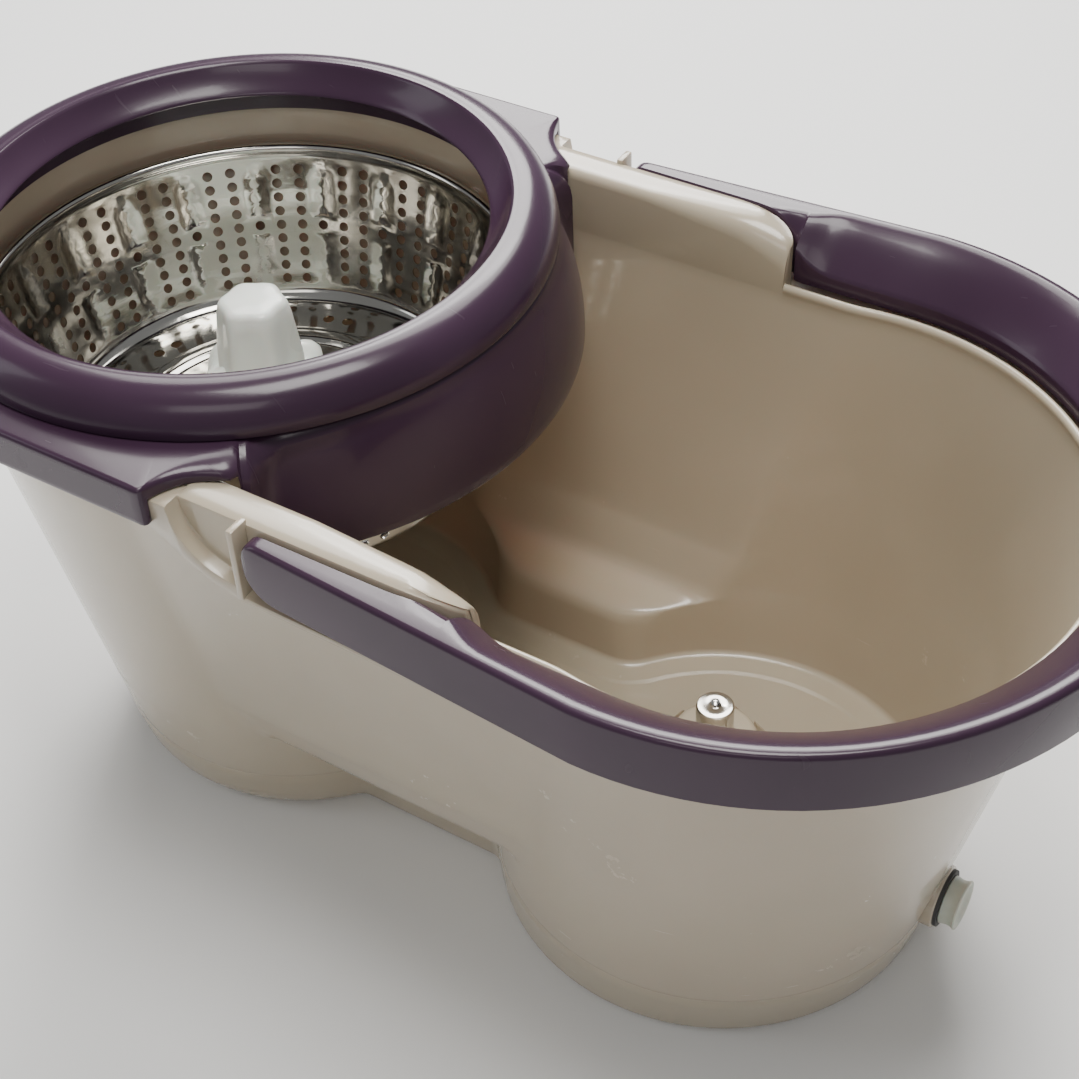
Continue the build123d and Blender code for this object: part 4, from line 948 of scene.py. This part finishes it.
# each row is a radius and a height, either of them one number or one for each turn
hub_rows = [(.5, 173), (10.4, 173), (11, 172.4), (11, 164), (17, 156), (17, HUB_LOW),
            (flange - .6, HUB_LOW), (flange, HUB_LOW + .6), (flange, HUB_LOW + 2.2),
            (flange - .7, HUB_LOW + 2.9), (26.5, HUB_LOW + 3.2)]
hub_rows += [((25.0 - 2.6 * share) * (1 + 0.035 * flutes), CUP_LOW + (scallops - CUP_LOW) * share)
             for share in (.06, .15, .3, .45, .6, .75, .88, .96)]
hub_rows += [(cup_rim + (cup_neck - cup_rim) * share,
              scallops + 3.5 * math.sin(share * math.pi / 2)) for share in (.25, .5, .75, 1.0)]
hub_rows += [((15.3 - 2.6 * share) * (1 - 0.065 * flutes),
              CONE_LOW + (CONE_HIGH - CONE_LOW) * share) for share in (.1, .3, .5, .7, .85)]
hub_rows += [((9.2 + 3.3 * math.cos(a)) * (1 - 0.05 * flutes), 190.6 + 3.2 * math.sin(a))
             for a in np.radians((15, 40, 65, 90))]
hub_rows += [(4.0, 194.0)]
hub_skin = np.array([
    np.column_stack((SPIN_X + radius * np.cos(turns), radius * np.sin(turns),
                     height + 0 * turns)) for radius, height in hub_rows])
hub = wrap_sheet("hub", hub_skin * MM)
sew(hub)
smooth(hub, 42)

white = Finish("white_hub_plastic", (0.72, 0.75, 0.69), 0.28, Subsurface_Weight=0.12,
               Subsurface_Scale=0.006, Coat_Weight=0.2)
haze = white.noise(18.0, 3.0)
peel_white = white.noise(380.0, 2.0)
grime = white.noise(55.0, 5.0, roughness=0.7).over(0.60, 0.80)
white.set("Base Color", white.blend(
    grime * 0.35, white.blend(haze.over(0.3, 0.7), (0.70, 0.735, 0.67), (0.77, 0.795, 0.745)),
    (0.55, 0.53, 0.45)))
white.set("Roughness", 0.22 + haze * 0.12 + grime * 0.20)
white.set("Normal", white.bump(peel_white, 0.00003, 0.3, white.bump(haze, 0.0008, 0.12)))
hub.data.materials.append(white.material)
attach(hub, "basket")
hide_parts("drive_hub")

# ---------------------------------------------------------------- wash post
# A polished steel pin with a chamfered end, bolted down through the ribbed dome.  The mop head
# turns on it while it is washed.
post = turn_up("post", (POST_X * MM, 0), [
    (4, 39.1), (4, dome_top), (7, dome_top), (7, dome_top + .9), (6.75, dome_top + 1.2),
    (6.75, dome_top + 2), (7, dome_top + 2.3), (7, dome_top + 25.2), (6.85, dome_top + 25.6),
    (6.4, dome_top + 26), (5.6, dome_top + 26.1), (2.3, dome_top + 26.1),
    (1.9, dome_top + 25.9), (1.2, dome_top + 25.4), (.4, dome_top + 25.2), (.4, 39.1)], segments=64)
smooth(post, 34)
post.data.materials.append(steel.material)
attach(post, "base")
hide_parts("wash_post")

# ---------------------------------------------------------------- drain plug
# A soft pale plug pushed into the drain from outside: waisted side, dished outer face and a
# plain stem, with the rubber gasket of the frame behind it.
plug_low, plug_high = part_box("drain_plug")
stem_end, head_start = plug_low.x / MM, gasket_high.x / MM
face = plug_high.x / MM
plug = turn_up("plug", (0, 0), [
    (.5, stem_end), (5.6, stem_end), (6.3, stem_end + .8), (6.3, head_start - .1),
    (8.6, head_start), (9.2, head_start + .4), (9.0, head_start + 1.6), (8.7, head_start + 3.0),
    (8.8, head_start + 4.4), (9.3, head_start + 5.5), (9.55, face - .7), (9.3, face - .15),
    (8.7, face), (8.0, face - .15), (7.3, face - .8), (6.2, face - 1.5), (4.0, face - 1.9),
    (.5, face - 2.0)], segments=64)
plug.rotation_euler = (0, math.pi / 2, 0)
settle(plug)
plug.location = (0, 0, drain_z)
settle(plug)
smooth(plug, 40)
cream = Finish("plug_plastic", (0.60, 0.63, 0.53), 0.45, Subsurface_Weight=0.15,
               Subsurface_Scale=0.004)
mottle = cream.noise(120.0, 4.0)
cream.set("Base Color", cream.blend(mottle.over(0.35, 0.7), (0.60, 0.63, 0.53), (0.66, 0.68, 0.59)))
cream.set("Roughness", 0.38 + mottle * 0.16)
cream.set("Normal", cream.bump(cream.noise(500.0), 0.00004, 0.35))
plug.data.materials.append(cream.material)
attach(plug, "plug")
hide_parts("drain_plug")

# ---------------------------------------------------------------- running gear
# The turned, punched and moulded small pieces that keep their own shapes: zinc-plated nuts,
# washers, clip and screws, a ground axle, nylon bushes, the under-hub and a rubber gasket.
zinc = Finish("zinc_fasteners", (0.52, 0.52, 0.50), 0.32, Metallic=1.0)
zinc_cloud = zinc.noise(150.0, 3.0)
zinc.set("Base Color",
         zinc.blend(zinc_cloud.over(0.3, 0.7), (0.44, 0.44, 0.42), (0.62, 0.61, 0.57)))
zinc.set("Roughness", 0.24 + zinc_cloud * 0.22)
zinc.set("Normal", zinc.bump(zinc.noise(900.0), 0.00003, 0.4))
nylon = Finish("bearing_nylon", (0.66, 0.65, 0.60), 0.42, Subsurface_Weight=0.1,
               Subsurface_Scale=0.003)
nylon_cloud = nylon.noise(90.0, 3.0)
nylon.set("Base Color", nylon.blend(nylon_cloud, (0.60, 0.59, 0.53), (0.72, 0.71, 0.66)))
nylon.set("Roughness", 0.34 + nylon_cloud * 0.18)
nylon.set("Normal", nylon.bump(nylon.noise(700.0), 0.00003, 0.3))
rubber = Finish("seal_rubber", (0.05, 0.05, 0.05), 0.7)
rubber_cloud = rubber.noise(160.0, 4.0)
rubber.set("Base Color", rubber.blend(rubber_cloud, (0.04, 0.04, 0.042), (0.085, 0.083, 0.08)))
rubber.set("Roughness", 0.58 + rubber_cloud * 0.25)
rubber.set("Normal", rubber.bump(rubber.noise(800.0), 0.00006, 0.5))
KEPT = {
    "spin_axle": steel, "axle_washer": zinc, "axle_nut": zinc, "axle_clip": zinc,
    "hub_screws": zinc, "wash_post_washer": zinc, "wash_post_nut": zinc, "thrust_washer": nylon,
    "lower_bush": nylon, "upper_bush": nylon, "under_hub": white, "drain_gasket": rubber,
}
for node, finish in KEPT.items():
    for kept in bpy.data.objects:
        if kept.type == "MESH" and (kept.name == node or kept.name.startswith(node + ".")):
            for slot in kept.material_slots:
                slot.material = finish.material
